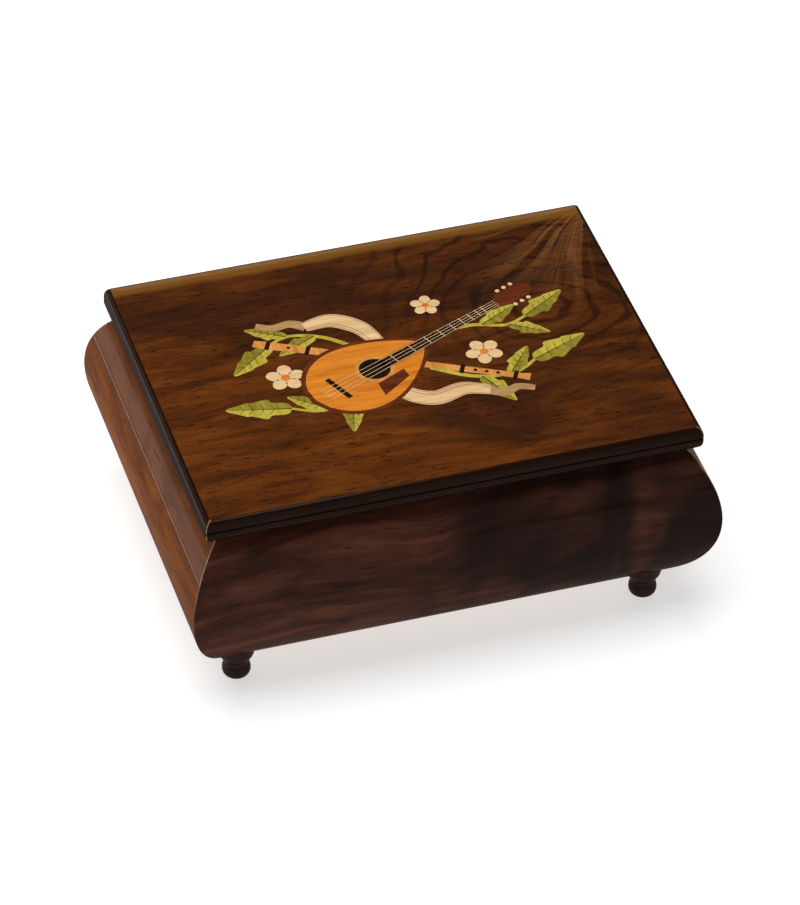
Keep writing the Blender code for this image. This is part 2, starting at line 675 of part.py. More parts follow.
def screw_reach():
    return 5 * SCREW_RADIUS


def screw(reach):
    """A cheese-head screw about Z with its head's seat at height 0 and its shank below, slotted on top."""
    shank = ((SCREW_RADIUS, -reach), (SCREW_RADIUS, 0.0), (SCREW_HEAD_RADIUS, 0.0))
    head = ((SCREW_HEAD_RADIUS, SCREW_HEAD_HEIGHT * 0.8), (SCREW_HEAD_RADIUS * 0.9, SCREW_HEAD_HEIGHT))
    slot_depth = SCREW_HEAD_HEIGHT / 2
    slot = box(
        (-2 * SCREW_HEAD_RADIUS, -SCREW_SLOT / 2, SCREW_HEAD_HEIGHT - slot_depth),
        (2 * SCREW_HEAD_RADIUS, SCREW_SLOT / 2, 2 * SCREW_HEAD_HEIGHT),
    )
    return turned(shank + head, SMALL_SIDES), slot


def make_screw(name, steel, location, reach, turn=(0.0, 0.0, 0.0)):
    shape, slot = screw(reach)
    cut(piece(name, shape, steel, location=location, rotation=turn), slot)


def make_screws(steel):
    upside_down = (math.pi, 0.0, 0.0)
    head_seat = BASE_BOTTOM + SCREW_HEAD_HEIGHT
    for number, (x, y) in enumerate(BED_SCREWS, 1):
        reach = BED_TOP - head_seat
        make_screw(f"bed_screw_{number}", steel, (x, y, head_seat), reach, upside_down)
    for side, x in zip(("left", "right"), COMB_SCREWS):
        seat = COMB_BOTTOM + COMB_THICKNESS + SEAT_GAP
        reach = seat - COMB_SEAT_TOP + 3 * SCREW_RADIUS
        make_screw(f"comb_screw_{side}", steel, (x, COMB_SCREW_Y, seat), reach)


def make_comb(steel):
    """The tuned comb: teeth of falling length reach from a solid root to the cylinder's pins."""
    left = CYLINDER_LEFT
    pitch = CYLINDER_LENGTH / NOTES
    back = -BED_FRONT + BED_CORNER / 2
    outline = [(left, back)]
    for note in range(NOTES):
        root = COMB_TIP_Y - COMB_LONG_TOOTH + (COMB_LONG_TOOTH - COMB_SHORT_TOOTH) * note / (NOTES - 1)
        start = left + note * pitch + COMB_SLOT / 2
        end = left + (note + 1) * pitch - COMB_SLOT / 2
        outline += [(start, root), (start, COMB_TIP_Y), (end, COMB_TIP_Y), (end, root)]
    outline.append((left + CYLINDER_LENGTH, back))
    comb = piece("comb", prism(outline, COMB_BOTTOM, COMB_BOTTOM + COMB_THICKNESS), steel)
    for x in COMB_SCREWS:
        hole = circle(SCREW_RADIUS + RUN_GAP, SMALL_SIDES, (x, COMB_SCREW_Y))
        cut(comb, prism(hole, COMB_BOTTOM - COMB_THICKNESS, COMB_BOTTOM + 2 * COMB_THICKNESS))


def cylinder_pins():
    """The pins of all notes as one mesh of small posts, set in the middle of the cylinder's flats."""
    bm = bmesh.new()
    turn = 2 * math.pi / CYLINDER_SIDES
    pitch = CYLINDER_LENGTH / NOTES
    sunk = CYLINDER_RADIUS * 0.9
    half = PIN_SIZE / 2
    for note in range(NOTES):
        for count in range(PINS_PER_NOTE):
            shift = note * 5 + count * (CYLINDER_SIDES // PINS_PER_NOTE) + (note * count) % 4
            flat = shift % CYLINDER_SIDES
            spin = Matrix.Rotation((flat + 0.5) * turn, 4, "Z")
            middle = (note + 0.5) * pitch
            made = bmesh.ops.create_cube(bm, size=1.0)["verts"]
            for vert in made:
                reach = PIN_TIP_RADIUS if vert.co.x > 0 else sunk
                side, end = math.copysign(half, vert.co.y), math.copysign(half, vert.co.z)
                vert.co = spin @ Vector((reach, side, middle + end))
    return mesh_from(bm)


def make_cylinder(brass, steel, axis):
    """Everything on the cylinder's shaft. The axis empty's Z runs along the shaft, to the right."""
    bore = CYLINDER_SHAFT_RADIUS + SEAT_GAP
    section = ring_section(bore, CYLINDER_RADIUS, 0.0, CYLINDER_LENGTH)
    barrel = turned_tube(section, CYLINDER_SIDES)
    start = CYLINDER_LEFT - BARREL_X
    cylinder = piece("pinned_cylinder", barrel, brass, axis, location=(0.0, 0.0, start))
    join(cylinder, cylinder_pins())
    ends = (LUG_LEFT - BARREL_X, BRACKET_RIGHT - BARREL_X)
    piece("cylinder_shaft", prism(circle(CYLINDER_SHAFT_RADIUS, SMALL_SIDES), *ends), steel, axis)
    # A tooth of the pinion points down into a gap of the crown wheel.
    teeth, hole = gear(tooth_outline(CROWN_MODULE, PINION_TEETH), PINION_WIDTH, bore)
    pinion = piece("cylinder_pinion", teeth, brass, axis, location=(0.0, 0.0, PINION_LEFT - BARREL_X))
    cut(pinion, hole)
    teeth, hole = gear(tooth_outline(TRAIN_MODULE, WHEEL_TEETH, turn=math.pi / 2), WHEEL_WIDTH, bore)
    wheel = piece("cylinder_wheel", teeth, brass, axis, location=(0.0, 0.0, WHEEL_LEFT - BARREL_X))
    cut(wheel, hole)


def twisted(outline, length, twist, steps):
    """An outline about Z, made solid from z 0 to its length while it turns by the twist."""
    rings = []
    for step in range(steps + 1):
        share = step / steps
        c, s = math.cos(twist * share), math.sin(twist * share)
        rings.append([(x * c - y * s, x * s + y * c, length * share) for x, y in outline])
    return loft(rings)


def worm_lead():
    return WORM_STARTS * math.pi * WORM_MODULE


def worm_outline():
    """The worm's cross-section: one broad tooth for each start."""
    pitch = 2 * math.pi / WORM_STARTS
    tip, root = WORM_RADIUS + ADDENDUM * WORM_MODULE, WORM_RADIUS - DEDENDUM * WORM_MODULE
    points = []
    for start in range(WORM_STARTS):
        for reach, share in ((root, -ROOT_SHARE), (tip, -TIP_SHARE), (tip, TIP_SHARE), (root, ROOT_SHARE)):
            angle = (start + 0.5 + share / 2) * pitch
            points.append((reach * math.cos(angle), reach * math.sin(angle)))
    return points


def make_lay_arbor(brass, axis):
    """The lay arbor between cylinder and worm: pinion and worm wheel in one.

    The axis empty's Z runs to +X.
    """
    post = BEARING_THICKNESS + GEAR_GAP
    low = WHEEL_LEFT - post - BARREL_X
    high = BRACKET_RIGHT - BARREL_X
    shaft = prism(circle(TRAIN_ARBOR_RADIUS, SMALL_SIDES), low, high)
    arbor = piece("lay_arbor", shaft, brass, axis)
    pinion_width = WHEEL_WIDTH + GEAR_GAP
    half_tooth = math.pi / LAY_TEETH
    pinion = prism(tooth_outline(TRAIN_MODULE, LAY_TEETH, turn=-math.pi / 2 + half_tooth), 0.0, pinion_width)
    join(arbor, moved(pinion, (0.0, 0.0, WHEEL_LEFT - BARREL_X)))
    # The teeth lean as steeply as the worm's threads do, and one of them points at the worm.
    lean = worm_lead() / (2 * math.pi * WORM_RADIUS)
    twist = WORM_WHEEL_WIDTH * lean / WORM_WHEEL_RADIUS
    outline = tooth_outline(WORM_MODULE, WORM_WHEEL_TEETH, turn=math.pi / 2 - twist / 2)
    wheel = twisted(outline, WORM_WHEEL_WIDTH, twist, 2)
    join(arbor, moved(wheel, (0.0, 0.0, WORM_WHEEL_LEFT - BARREL_X)))


def make_worm(steel, brass, axis):
    """The governor: a steep worm that the lay arbor spins, with the fan that brakes it in the air."""
    low = BED_BOTTOM + SEAT_GAP
    shaft = prism(circle(TRAIN_ARBOR_RADIUS, SMALL_SIDES), low - AXIS_Z, WORM_SHAFT_TOP - AXIS_Z)
    worm = piece("worm", shaft, steel, axis)
    turns = WORM_LENGTH / worm_lead()
    thread = twisted(worm_outline(), WORM_LENGTH, 2 * math.pi * turns, round(turns * 18))
    thread.transform(Matrix.Rotation(-math.pi * turns, 4, "Z"))
    join(worm, moved(thread, (0.0, 0.0, -WORM_LENGTH / 2)))
    hub_radius = TRAIN_ARBOR_RADIUS + 4 * SEAT_GAP
    hub = prism(circle(hub_radius, SMALL_SIDES), FAN_BOTTOM - AXIS_Z, FAN_BOTTOM + FAN_HEIGHT - AXIS_Z)
    fan = piece("governor_fan", hub, brass, axis)
    blade_low = (-FAN_RADIUS, -FAN_BLADE / 2, FAN_BOTTOM - AXIS_Z + FAN_BLADE / 2)
    join(fan, box(blade_low, (FAN_RADIUS, FAN_BLADE / 2, FAN_BOTTOM + FAN_HEIGHT - AXIS_Z - FAN_BLADE / 2)))
    bore = circle(TRAIN_ARBOR_RADIUS + SEAT_GAP, SMALL_SIDES)
    cut(fan, prism(bore, FAN_BOTTOM - AXIS_Z - FAN_HEIGHT, FAN_BOTTOM - AXIS_Z + 2 * FAN_HEIGHT))


def crown_ring():
    """The crown wheel: a ring whose teeth stand up from its flat face."""
    inner, outer = CROWN_RADIUS - CROWN_FACE / 2, CROWN_RADIUS + CROWN_FACE / 2
    pitch = 2 * math.pi / CROWN_TEETH
    root = CROWN_PITCH - DEDENDUM * CROWN_MODULE
    rings = []
    for tooth in range(CROWN_TEETH):
        corners = ((root, -ROOT_SHARE), (CROWN_TIP, -TIP_SHARE), (CROWN_TIP, TIP_SHARE), (root, ROOT_SHARE))
        for height, share in corners:
            angle = (tooth + 0.5 + share / 2) * pitch
            c, s = math.cos(angle), math.sin(angle)
            section = ring_section(inner, outer, CROWN_BOTTOM, height)
            rings.append([(r * c, r * s, z) for r, z in section])
    return loft(rings, closed=True)


def mainspring():
    """The wound mainspring: a strip that spirals out from the arbor to the barrel's wall."""
    inner = ARBOR_RADIUS + 2 * SEAT_GAP + SPRING_STRIP
    outer = BARREL_RADIUS - BARREL_WALL - 2 * SEAT_GAP - SPRING_STRIP
    steps = SPRING_TURNS * 14
    bottom, top = BARREL_BOTTOM + SEAT_GAP, BARREL_TOP - BARREL_WALL - SEAT_GAP
    rings = []
    for step in range(steps + 1):
        angle = 2 * math.pi * SPRING_TURNS * step / steps
        radius = inner + (outer - inner) * step / steps
        c, s = math.cos(angle), math.sin(angle)
        section = ring_section(radius, radius + SPRING_STRIP, bottom, top)
        rings.append([(r * c, r * s, z) for r, z in section])
    return loft(rings)


def make_barrel(brass, steel, axis):
    hole = ARBOR_RADIUS + RUN_GAP
    wall_inside = BARREL_RADIUS - BARREL_WALL
    ceiling = BARREL_TOP - BARREL_WALL
    cup = (
        (wall_inside, BARREL_BOTTOM),
        (BARREL_RADIUS, BARREL_BOTTOM),
        (BARREL_RADIUS, BARREL_TOP),
        (hole, BARREL_TOP),
        (hole, ceiling),
        (wall_inside, ceiling),
    )
    in_place("spring_barrel", moved(turned_tube(cup, 32), (BARREL_X, AXIS_Y, 0.0)), brass, axis)
    in_place("crown_wheel", moved(crown_ring(), (BARREL_X, AXIS_Y, 0.0)), brass, axis)
    in_place("mainspring", moved(mainspring(), (BARREL_X, AXIS_Y, 0.0)), steel, axis)


def bridge_bottom():
    return CROWN_TIP + GEAR_GAP


def make_bearings(zinc):
    """The bridge over the barrel, the post behind the cylinder and the bracket at its right end."""
    low = BED_TOP + SEAT_GAP
    half = BRIDGE_WIDTH / 2
    arm_bottom = bridge_bottom()
    arm_top = arm_bottom + BRIDGE_THICKNESS
    front, back = AXIS_Y - half, AXIS_Y + half
    post_right = BED_LEFT + BRIDGE_POST
    bearing_top = AXIS_Z + 3 * CYLINDER_SHAFT_RADIUS
    side = (
        (BED_LEFT, low),
        (post_right, low),
        (post_right, arm_bottom),
        (LUG_RIGHT, arm_bottom),
        (LUG_RIGHT, bearing_top),
        (LUG_LEFT, bearing_top),
        (LUG_LEFT, arm_top),
        (BED_LEFT, arm_top),
    )
    bridge = piece("barrel_bridge", loft([[(x, y, z) for x, z in side] for y in (front, back)]), zinc)
    pivot = circle(ARBOR_PIVOT_RADIUS + RUN_GAP, SMALL_SIDES, (BARREL_X, AXIS_Y))
    cut(bridge, prism(pivot, arm_bottom - BRIDGE_THICKNESS, arm_top + BRIDGE_THICKNESS))
    cut(bridge, shaft_bore(CYLINDER_SHAFT_RADIUS, LUG_LEFT, LUG_RIGHT, AXIS_Y))

    post_right = WHEEL_LEFT - GEAR_GAP
    post_left = post_right - BEARING_THICKNESS
    post_front = AXIS_Y + PIN_TIP_RADIUS + GEAR_GAP
    post_back = LAY_Y + 4 * TRAIN_ARBOR_RADIUS
    post_low = (post_left, post_front, low)
    post = piece("lay_post", box(post_low, (post_right, post_back, AXIS_Z + 4 * TRAIN_ARBOR_RADIUS)), zinc)
    cut(post, shaft_bore(TRAIN_ARBOR_RADIUS, post_left, post_right, LAY_Y))

    plate_front = AXIS_Y - 4 * CYLINDER_SHAFT_RADIUS
    plate_back = WORM_Y + 4 * TRAIN_ARBOR_RADIUS
    plate = box((BRACKET_LEFT, plate_front, low), (BRACKET_RIGHT, plate_back, ARM_TOP))
    bracket = piece("governor_bracket", plate, zinc)
    arm_front = WORM_Y - 4 * TRAIN_ARBOR_RADIUS
    arm_left = WORM_X - 4 * TRAIN_ARBOR_RADIUS
    overlap = BEARING_THICKNESS / 2
    join(bracket, box((arm_left, arm_front, ARM_BOTTOM), (BRACKET_LEFT + overlap, plate_back, ARM_TOP)))
    cut(bracket, shaft_bore(CYLINDER_SHAFT_RADIUS, BRACKET_LEFT, BRACKET_RIGHT, AXIS_Y))
    cut(bracket, shaft_bore(TRAIN_ARBOR_RADIUS, BRACKET_LEFT, BRACKET_RIGHT, LAY_Y))
    upper = circle(TRAIN_ARBOR_RADIUS + RUN_GAP, SMALL_SIDES, (WORM_X, WORM_Y))
    cut(bracket, prism(upper, ARM_BOTTOM - BRIDGE_THICKNESS, ARM_TOP + BRIDGE_THICKNESS))


def shaft_bore(radius, left, right, y):
    """A bearing hole along X at the height of the cylinder's axis."""
    bore = circle(radius + RUN_GAP, SMALL_SIDES)
    hole = along_x(prism(bore, left - BEARING_THICKNESS, right + BEARING_THICKNESS))
    return moved(hole, (0.0, y, AXIS_Z))


def click_pivot():
    reach = BARREL_RADIUS + CLICK_WIDTH
    angle = math.radians(-130)
    return (BARREL_X + reach * math.cos(angle), AXIS_Y + reach * math.sin(angle))


def ratchet_outline():
    points = []
    for tooth in range(RATCHET_TEETH):
        for reach, share in ((RATCHET_RADIUS, 0.0), (RATCHET_RADIUS * 0.86, 0.12)):
            angle = 2 * math.pi * (tooth + share) / RATCHET_TEETH
            points.append((reach * math.cos(angle), reach * math.sin(angle)))
    return points


def make_winding(brass, steel, axis):
    """The key, the arbor that it turns, and the ratchet and click that hold what it wound."""
    top = bridge_bottom() + BRIDGE_THICKNESS
    shoulder = CROWN_BOTTOM + SEAT_GAP
    stem_top = BASE_TOP - SEAT_GAP
    bow_top = KEY_FLOOR_GAP + KEY_BOW_HEIGHT
    socket_floor = bow_top + SEAT_GAP
    profile = (
        (ARBOR_PIVOT_RADIUS, socket_floor + SEAT_GAP),
        (ARBOR_PIVOT_RADIUS, stem_top + SEAT_GAP),
        (ARBOR_RADIUS, stem_top + SEAT_GAP),
        (ARBOR_RADIUS, shoulder),
        (ARBOR_PIVOT_RADIUS, shoulder),
        (ARBOR_PIVOT_RADIUS, top),
    )
    place = (BARREL_X, AXIS_Y, 0.0)
    in_place("winding_arbor", moved(turned(profile, SMALL_SIDES), place), steel, axis)

    stem = turned(((KEY_STEM_RADIUS, bow_top - 2 * KEY_THICKNESS), (KEY_STEM_RADIUS, stem_top)), ROUND_SIDES)
    key = in_place("winding_key", moved(stem, place), brass, axis)
    bow = key_bow()
    bow.transform(Matrix.Translation(Vector(place) + Vector((0, 0, KEY_FLOOR_GAP)) - axis.location))
    join(key, bow)
    socket = prism(circle(ARBOR_PIVOT_RADIUS + SEAT_GAP, SMALL_SIDES, place), socket_floor, BASE_TOP)
    cut(key, moved(socket, -axis.location))

    wheel = prism(ratchet_outline(), RATCHET_BOTTOM, RATCHET_BOTTOM + RATCHET_THICKNESS)
    ratchet = in_place("ratchet_wheel", moved(wheel, place), steel, axis)
    hole = prism(circle(ARBOR_RADIUS + SEAT_GAP, SMALL_SIDES, place), BED_BOTTOM, BARREL_BOTTOM)
    cut(ratchet, moved(hole, -axis.location))


def key_bow():
    """The key's bow: two round wings on a flat plate, standing on edge across the stem."""
    wing = KEY_BOW_HEIGHT / 2
    reach = KEY_SPAN / 2 - wing
    outline = []
    for step in range(9):
        angle = math.radians(-90 + 180 * step / 8)
        outline.append((reach + wing * math.cos(angle), wing + wing * math.sin(angle)))
    outline.append((0.0, KEY_BOW_HEIGHT * 0.8))
    for step in range(9):
        angle = math.radians(90 + 180 * step / 8)
        outline.append((-reach + wing * math.cos(angle), wing + wing * math.sin(angle)))
    outline.append((0.0, KEY_BOW_HEIGHT * 0.2))
    return loft([[(x, y, z) for x, z in outline] for y in (-KEY_THICKNESS / 2, KEY_THICKNESS / 2)])


def make_click(steel):
    """The click: a flat spring lever on a stud, with its nose at the ratchet's teeth."""
    x, y = click_pivot()
    away = Vector((x - BARREL_X, y - AXIS_Y))
    reach = away.length
    nose = RATCHET_RADIUS + RUN_GAP
    half = CLICK_WIDTH / 2
    outline = [(reach + half, -half), (reach + half, half), (nose + half, half * 0.6)]
    outline += [(nose, half), (nose, -half * 0.1)]
    lever = prism(outline, RATCHET_BOTTOM, RATCHET_BOTTOM + RATCHET_THICKNESS)
    turn = math.atan2(away.y, away.x)
    click = piece("click", lever, steel, location=(BARREL_X, AXIS_Y, 0.0), rotation=(0.0, 0.0, turn))
    stud_top = RATCHET_BOTTOM + RATCHET_THICKNESS / 2
    stud = prism(circle(SCREW_RADIUS, SMALL_SIDES, (reach, 0.0)), BED_BOTTOM + SEAT_GAP, stud_top)
    join(click, stud)


def stop_spring_points():
    """A helix round the stop rod, with straight ends square to the seats above and below it."""
    bottom = GUIDE_TOP + SEAT_GAP + STOP_SPRING_WIRE / 2
    top = STOP_HEAD_BOTTOM - SEAT_GAP - STOP_SPRING_WIRE / 2
    count = STOP_SPRING_TURNS * CURL_POINTS
    points = []
    for step in range(count + 1):
        angle = 2 * math.pi * step / CURL_POINTS
        height = bottom + (top - bottom) * step / count
        points.append((STOP_SPRING_RADIUS * math.cos(angle), STOP_SPRING_RADIUS * math.sin(angle), height))
    return points


def least_coil_gap(points):
    """The least clear space between a coil's neighbouring turns."""
    least = min(
        (Vector(a) - Vector(b)).length
        for i, a in enumerate(points)
        for b in points[i + CURL_POINTS // 2 :]
    )
    return least - STOP_SPRING_WIRE


def make_stop(brass, steel, axis):
    """The stop rod with its head under the lid, its guide in the pane and the spring that lifts it."""
    collar_bottom = STOP_COLLAR_TOP - STOP_COLLAR_HEIGHT
    profile = (
        (STOP_ROD_RADIUS, STOP_TIP),
        (STOP_ROD_RADIUS, collar_bottom),
        (STOP_COLLAR_RADIUS, collar_bottom),
        (STOP_COLLAR_RADIUS, STOP_COLLAR_TOP),
        (STOP_ROD_RADIUS, STOP_COLLAR_TOP),
        (STOP_ROD_RADIUS, STOP_HEAD_BOTTOM),
        (STOP_HEAD_RADIUS, STOP_HEAD_BOTTOM),
        (STOP_HEAD_RADIUS, STOP_HEAD_TOP - STOP_HEAD_HEIGHT * 0.4),
        (STOP_HEAD_RADIUS * 0.7, STOP_HEAD_TOP),
    )
    place = (WORM_X, WORM_Y, 0.0)
    in_place("stop_rod", moved(turned(profile, SMALL_SIDES), place), brass, axis)
    bore = STOP_ROD_RADIUS + RUN_GAP
    section = (
        (bore, GUIDE_BOTTOM),
        (GUIDE_RADIUS, GUIDE_BOTTOM),
        (GUIDE_RADIUS, GUIDE_FLANGE_BOTTOM),
        (GUIDE_FLANGE_RADIUS, GUIDE_FLANGE_BOTTOM),
        (GUIDE_FLANGE_RADIUS, GUIDE_TOP),
        (bore, GUIDE_TOP),
    )
    piece("stop_guide", turned_tube(section, SMALL_SIDES), brass, location=place)

    points = stop_spring_points()
    print(f"stop spring: least gap between turns {least_coil_gap(points) / MM:.2f} mm")
    curve = bpy.data.curves.new("stop_spring", "CURVE")
    curve.dimensions = "3D"
    curve.bevel_depth = STOP_SPRING_WIRE / 2
    curve.bevel_resolution = 1
    curve.use_fill_caps = True
    spline = curve.splines.new("POLY")
    spline.points.add(len(points) - 1)
    for point, place_on_coil in zip(spline.points, points):
        point.co = (*place_on_coil, 1.0)
    piece("stop_spring", curve, steel, location=place)


def main():
    clear_scene()
    walnut = material("walnut", (0.115, 0.045, 0.022), 0.25)
    dark = material("dark_stained_wood", (0.022, 0.011, 0.008), 0.3)
    plywood = material("plywood", (0.42, 0.28, 0.16), 0.6)
    felt = material("felt", (0.25, 0.02, 0.03), 0.95)
    clear = material("clear_acrylic", (0.9, 0.92, 0.92), 0.05)
    brass = material("brass", (0.72, 0.52, 0.22), 0.3, 1.0)
    steel = material("steel", (0.55, 0.55, 0.56), 0.3, 1.0)
    zinc = material("zinc_casting", (0.62, 0.58, 0.48), 0.45, 1.0)

    along = (0.0, math.pi / 2, 0.0)
    lid_axis = axis_empty("lid_axis", Vector((0.0, HINGE_Y, HINGE_Z)))
    winding_axis = axis_empty("winding_axis", Vector((BARREL_X, AXIS_Y, BASE_BOTTOM)))
    barrel_axis = axis_empty("barrel_axis", Vector((BARREL_X, AXIS_Y, BARREL_BOTTOM)))
    cylinder_axis = axis_empty("cylinder_axis", Vector((BARREL_X, AXIS_Y, AXIS_Z)), along)
    lay_axis = axis_empty("lay_axis", Vector((BARREL_X, LAY_Y, AXIS_Z)), along)
    worm_axis = axis_empty("worm_axis", Vector((WORM_X, WORM_Y, AXIS_Z)))
    stop_axis = axis_empty("stop_axis", Vector((WORM_X, WORM_Y, STOP_TIP)))

    make_walls(walnut)
    make_base(plywood)
    make_feet(dark)
    make_lid(walnut, felt, lid_axis)
    make_hinges(brass, steel, lid_axis)
    make_inside(walnut, felt, clear)
    make_bed(zinc)
    make_bearings(zinc)
    make_comb(steel)
    make_screws(steel)
    make_barrel(brass, steel, barrel_axis)
    make_winding(brass, steel, winding_axis)
    make_click(steel)
    make_cylinder(brass, steel, cylinder_axis)
    make_lay_arbor(brass, lay_axis)
    make_worm(steel, brass, worm_axis)
    make_stop(brass, steel, stop_axis)


main()
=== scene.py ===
"""Looks of the cylinder music box: lacquered walnut, an inlaid lid and the movement inside.

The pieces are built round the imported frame, in metres unless a comment says millimetres.
"""

import math

import bmesh
import bpy
from mathutils import Matrix, Vector


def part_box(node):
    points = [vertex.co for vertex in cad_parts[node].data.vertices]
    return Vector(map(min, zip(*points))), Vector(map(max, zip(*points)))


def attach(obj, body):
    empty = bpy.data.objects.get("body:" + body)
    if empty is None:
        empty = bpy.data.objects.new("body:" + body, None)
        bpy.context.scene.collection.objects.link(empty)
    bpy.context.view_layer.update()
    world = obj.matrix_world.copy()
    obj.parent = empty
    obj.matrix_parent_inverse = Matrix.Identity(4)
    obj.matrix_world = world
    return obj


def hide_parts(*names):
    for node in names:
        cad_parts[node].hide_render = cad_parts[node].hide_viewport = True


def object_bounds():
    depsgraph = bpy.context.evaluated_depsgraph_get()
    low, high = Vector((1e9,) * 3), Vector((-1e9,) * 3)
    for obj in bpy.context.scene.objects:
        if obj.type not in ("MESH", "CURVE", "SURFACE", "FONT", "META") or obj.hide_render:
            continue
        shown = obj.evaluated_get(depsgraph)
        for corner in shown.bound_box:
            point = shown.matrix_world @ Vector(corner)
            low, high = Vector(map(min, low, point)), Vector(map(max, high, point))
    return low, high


MM = 0.001
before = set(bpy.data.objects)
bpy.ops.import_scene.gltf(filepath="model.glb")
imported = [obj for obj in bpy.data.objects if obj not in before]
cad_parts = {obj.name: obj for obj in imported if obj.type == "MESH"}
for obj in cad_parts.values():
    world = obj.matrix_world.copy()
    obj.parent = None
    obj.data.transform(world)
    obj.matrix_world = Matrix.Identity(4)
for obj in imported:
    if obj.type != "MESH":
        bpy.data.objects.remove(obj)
cad_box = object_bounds()

# Camera, as fitted to the photograph
CAMERA_TARGET = Vector((-0.01402, -0.04568, 0.0760))
CAMERA_AZIMUTH = math.radians(-18.0)
CAMERA_ELEVATION = math.radians(40.12)
CAMERA_ROLL = math.radians(1.01)
CAMERA_DISTANCE = 1.5931
CAMERA_LENS = 201.9  # mm
CAMERA_SENSOR = 36.0  # mm, along the image's height
CAMERA_FAR = 20.0

# The case, as in the solids
LID_LOW, LID_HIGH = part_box("lid_board")
WALL_LOW, WALL_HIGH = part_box("front_wall")
LID_HALF = Vector((LID_HIGH[0], LID_HIGH[1]))
BELLY = Vector((cad_box[1][0], cad_box[1][1]))
BELLY_RADIUS = 36.0 * MM
BELLY_LEVEL = WALL_LOW[2] + 27.5 * MM
INNER_Y = -WALL_HIGH[1]
INNER_X = -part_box("left_wall")[1][0]
RABBET = 3.3 * MM
RABBET_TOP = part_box("base_board")[1][2] + 0.3 * MM
MITRE_GAP = 0.01 * MM
WALL_STEPS = 44

# Hinge pockets: room round a leaf, and how far the cut runs on past the wood
POCKET_GAP = 0.25 * MM
POCKET_PAST = 2 * MM
POCKET_BEHIND = 9 * MM

# Hinge screws
SCREW_PROFILE_MM = ((1.5, -0.25), (1.5, 0.0), (1.32, 0.035), (0.5, 0.05))  # radius, height
SCREW_SIDES = 24
SCREW_SLOT = ((-2 * MM, -0.2 * MM, -0.1 * MM), (2 * MM, 0.2 * MM, 1 * MM))
SCREW_OFFSETS = (-8.5 * MM, 0.0, 8.5 * MM)
SCREW_FROM_FRONT = 4 * MM

# The lid's edge: a quarter round, a quirk and a smaller quarter round below it
LID_TOP = LID_HIGH[2] - 0.06 * MM  # the inlay fills what is left up to the solid's top
LID_CORNER = 1.0 * MM
LID_ROLL_WIDTH, LID_ROLL_DROP, LID_ROLL_STEPS = 5.0 * MM, 0.14 * MM, 6
LID_ROUND = 2.0 * MM
LID_ROUND_STEPS = 8
LID_ROUND_DEPTH = 3.55 * MM
LID_QUIRK_MM = ((0.10, 3.78), (0.42, 3.98), (0.42, 4.14), (0.10, 4.32), (0.0, 4.5))  # inset, drop
LID_LOWER_ROUND = 5.7 * MM

# A turned foot: radius and height
FOOT_PROFILE_MM = (
    (3.3, 0.0), (4.0, 0.35), (4.5, 1.2), (4.66, 2.4), (4.45, 3.7), (4.0, 4.7), (3.86, 5.6),
    (4.15, 6.6), (4.75, 7.5), (5.35, 8.1), (5.75, 8.9), (5.95, 10.0), (6.0, 11.4), (6.0, 12.7),
)

# Half of a felted board's section: inset from its edge and height, with a slight crown
PANEL_ROWS_MM = ((12.0, 0.0), (5.0, 0.03), (1.6, 0.10), (0.5, 0.18), (0.12, 0.36), (0.0, 0.62))
PANEL_CORNER = 1.5 * MM

CORNER_STEPS = 5
TURNED_SIDES = 48
QUARTER_TURN = 90


# Shader building

THIN_COAT, THICK_COAT = 0.09, 0.35
PORE_SCALES = (75.0, 1400.0)  # along and across the grain, per metre
MIX_FACTOR, MIX_UNDER, MIX_OVER, MIX_RESULT = 0, 6, 7, 2  # a colour mix node's sockets


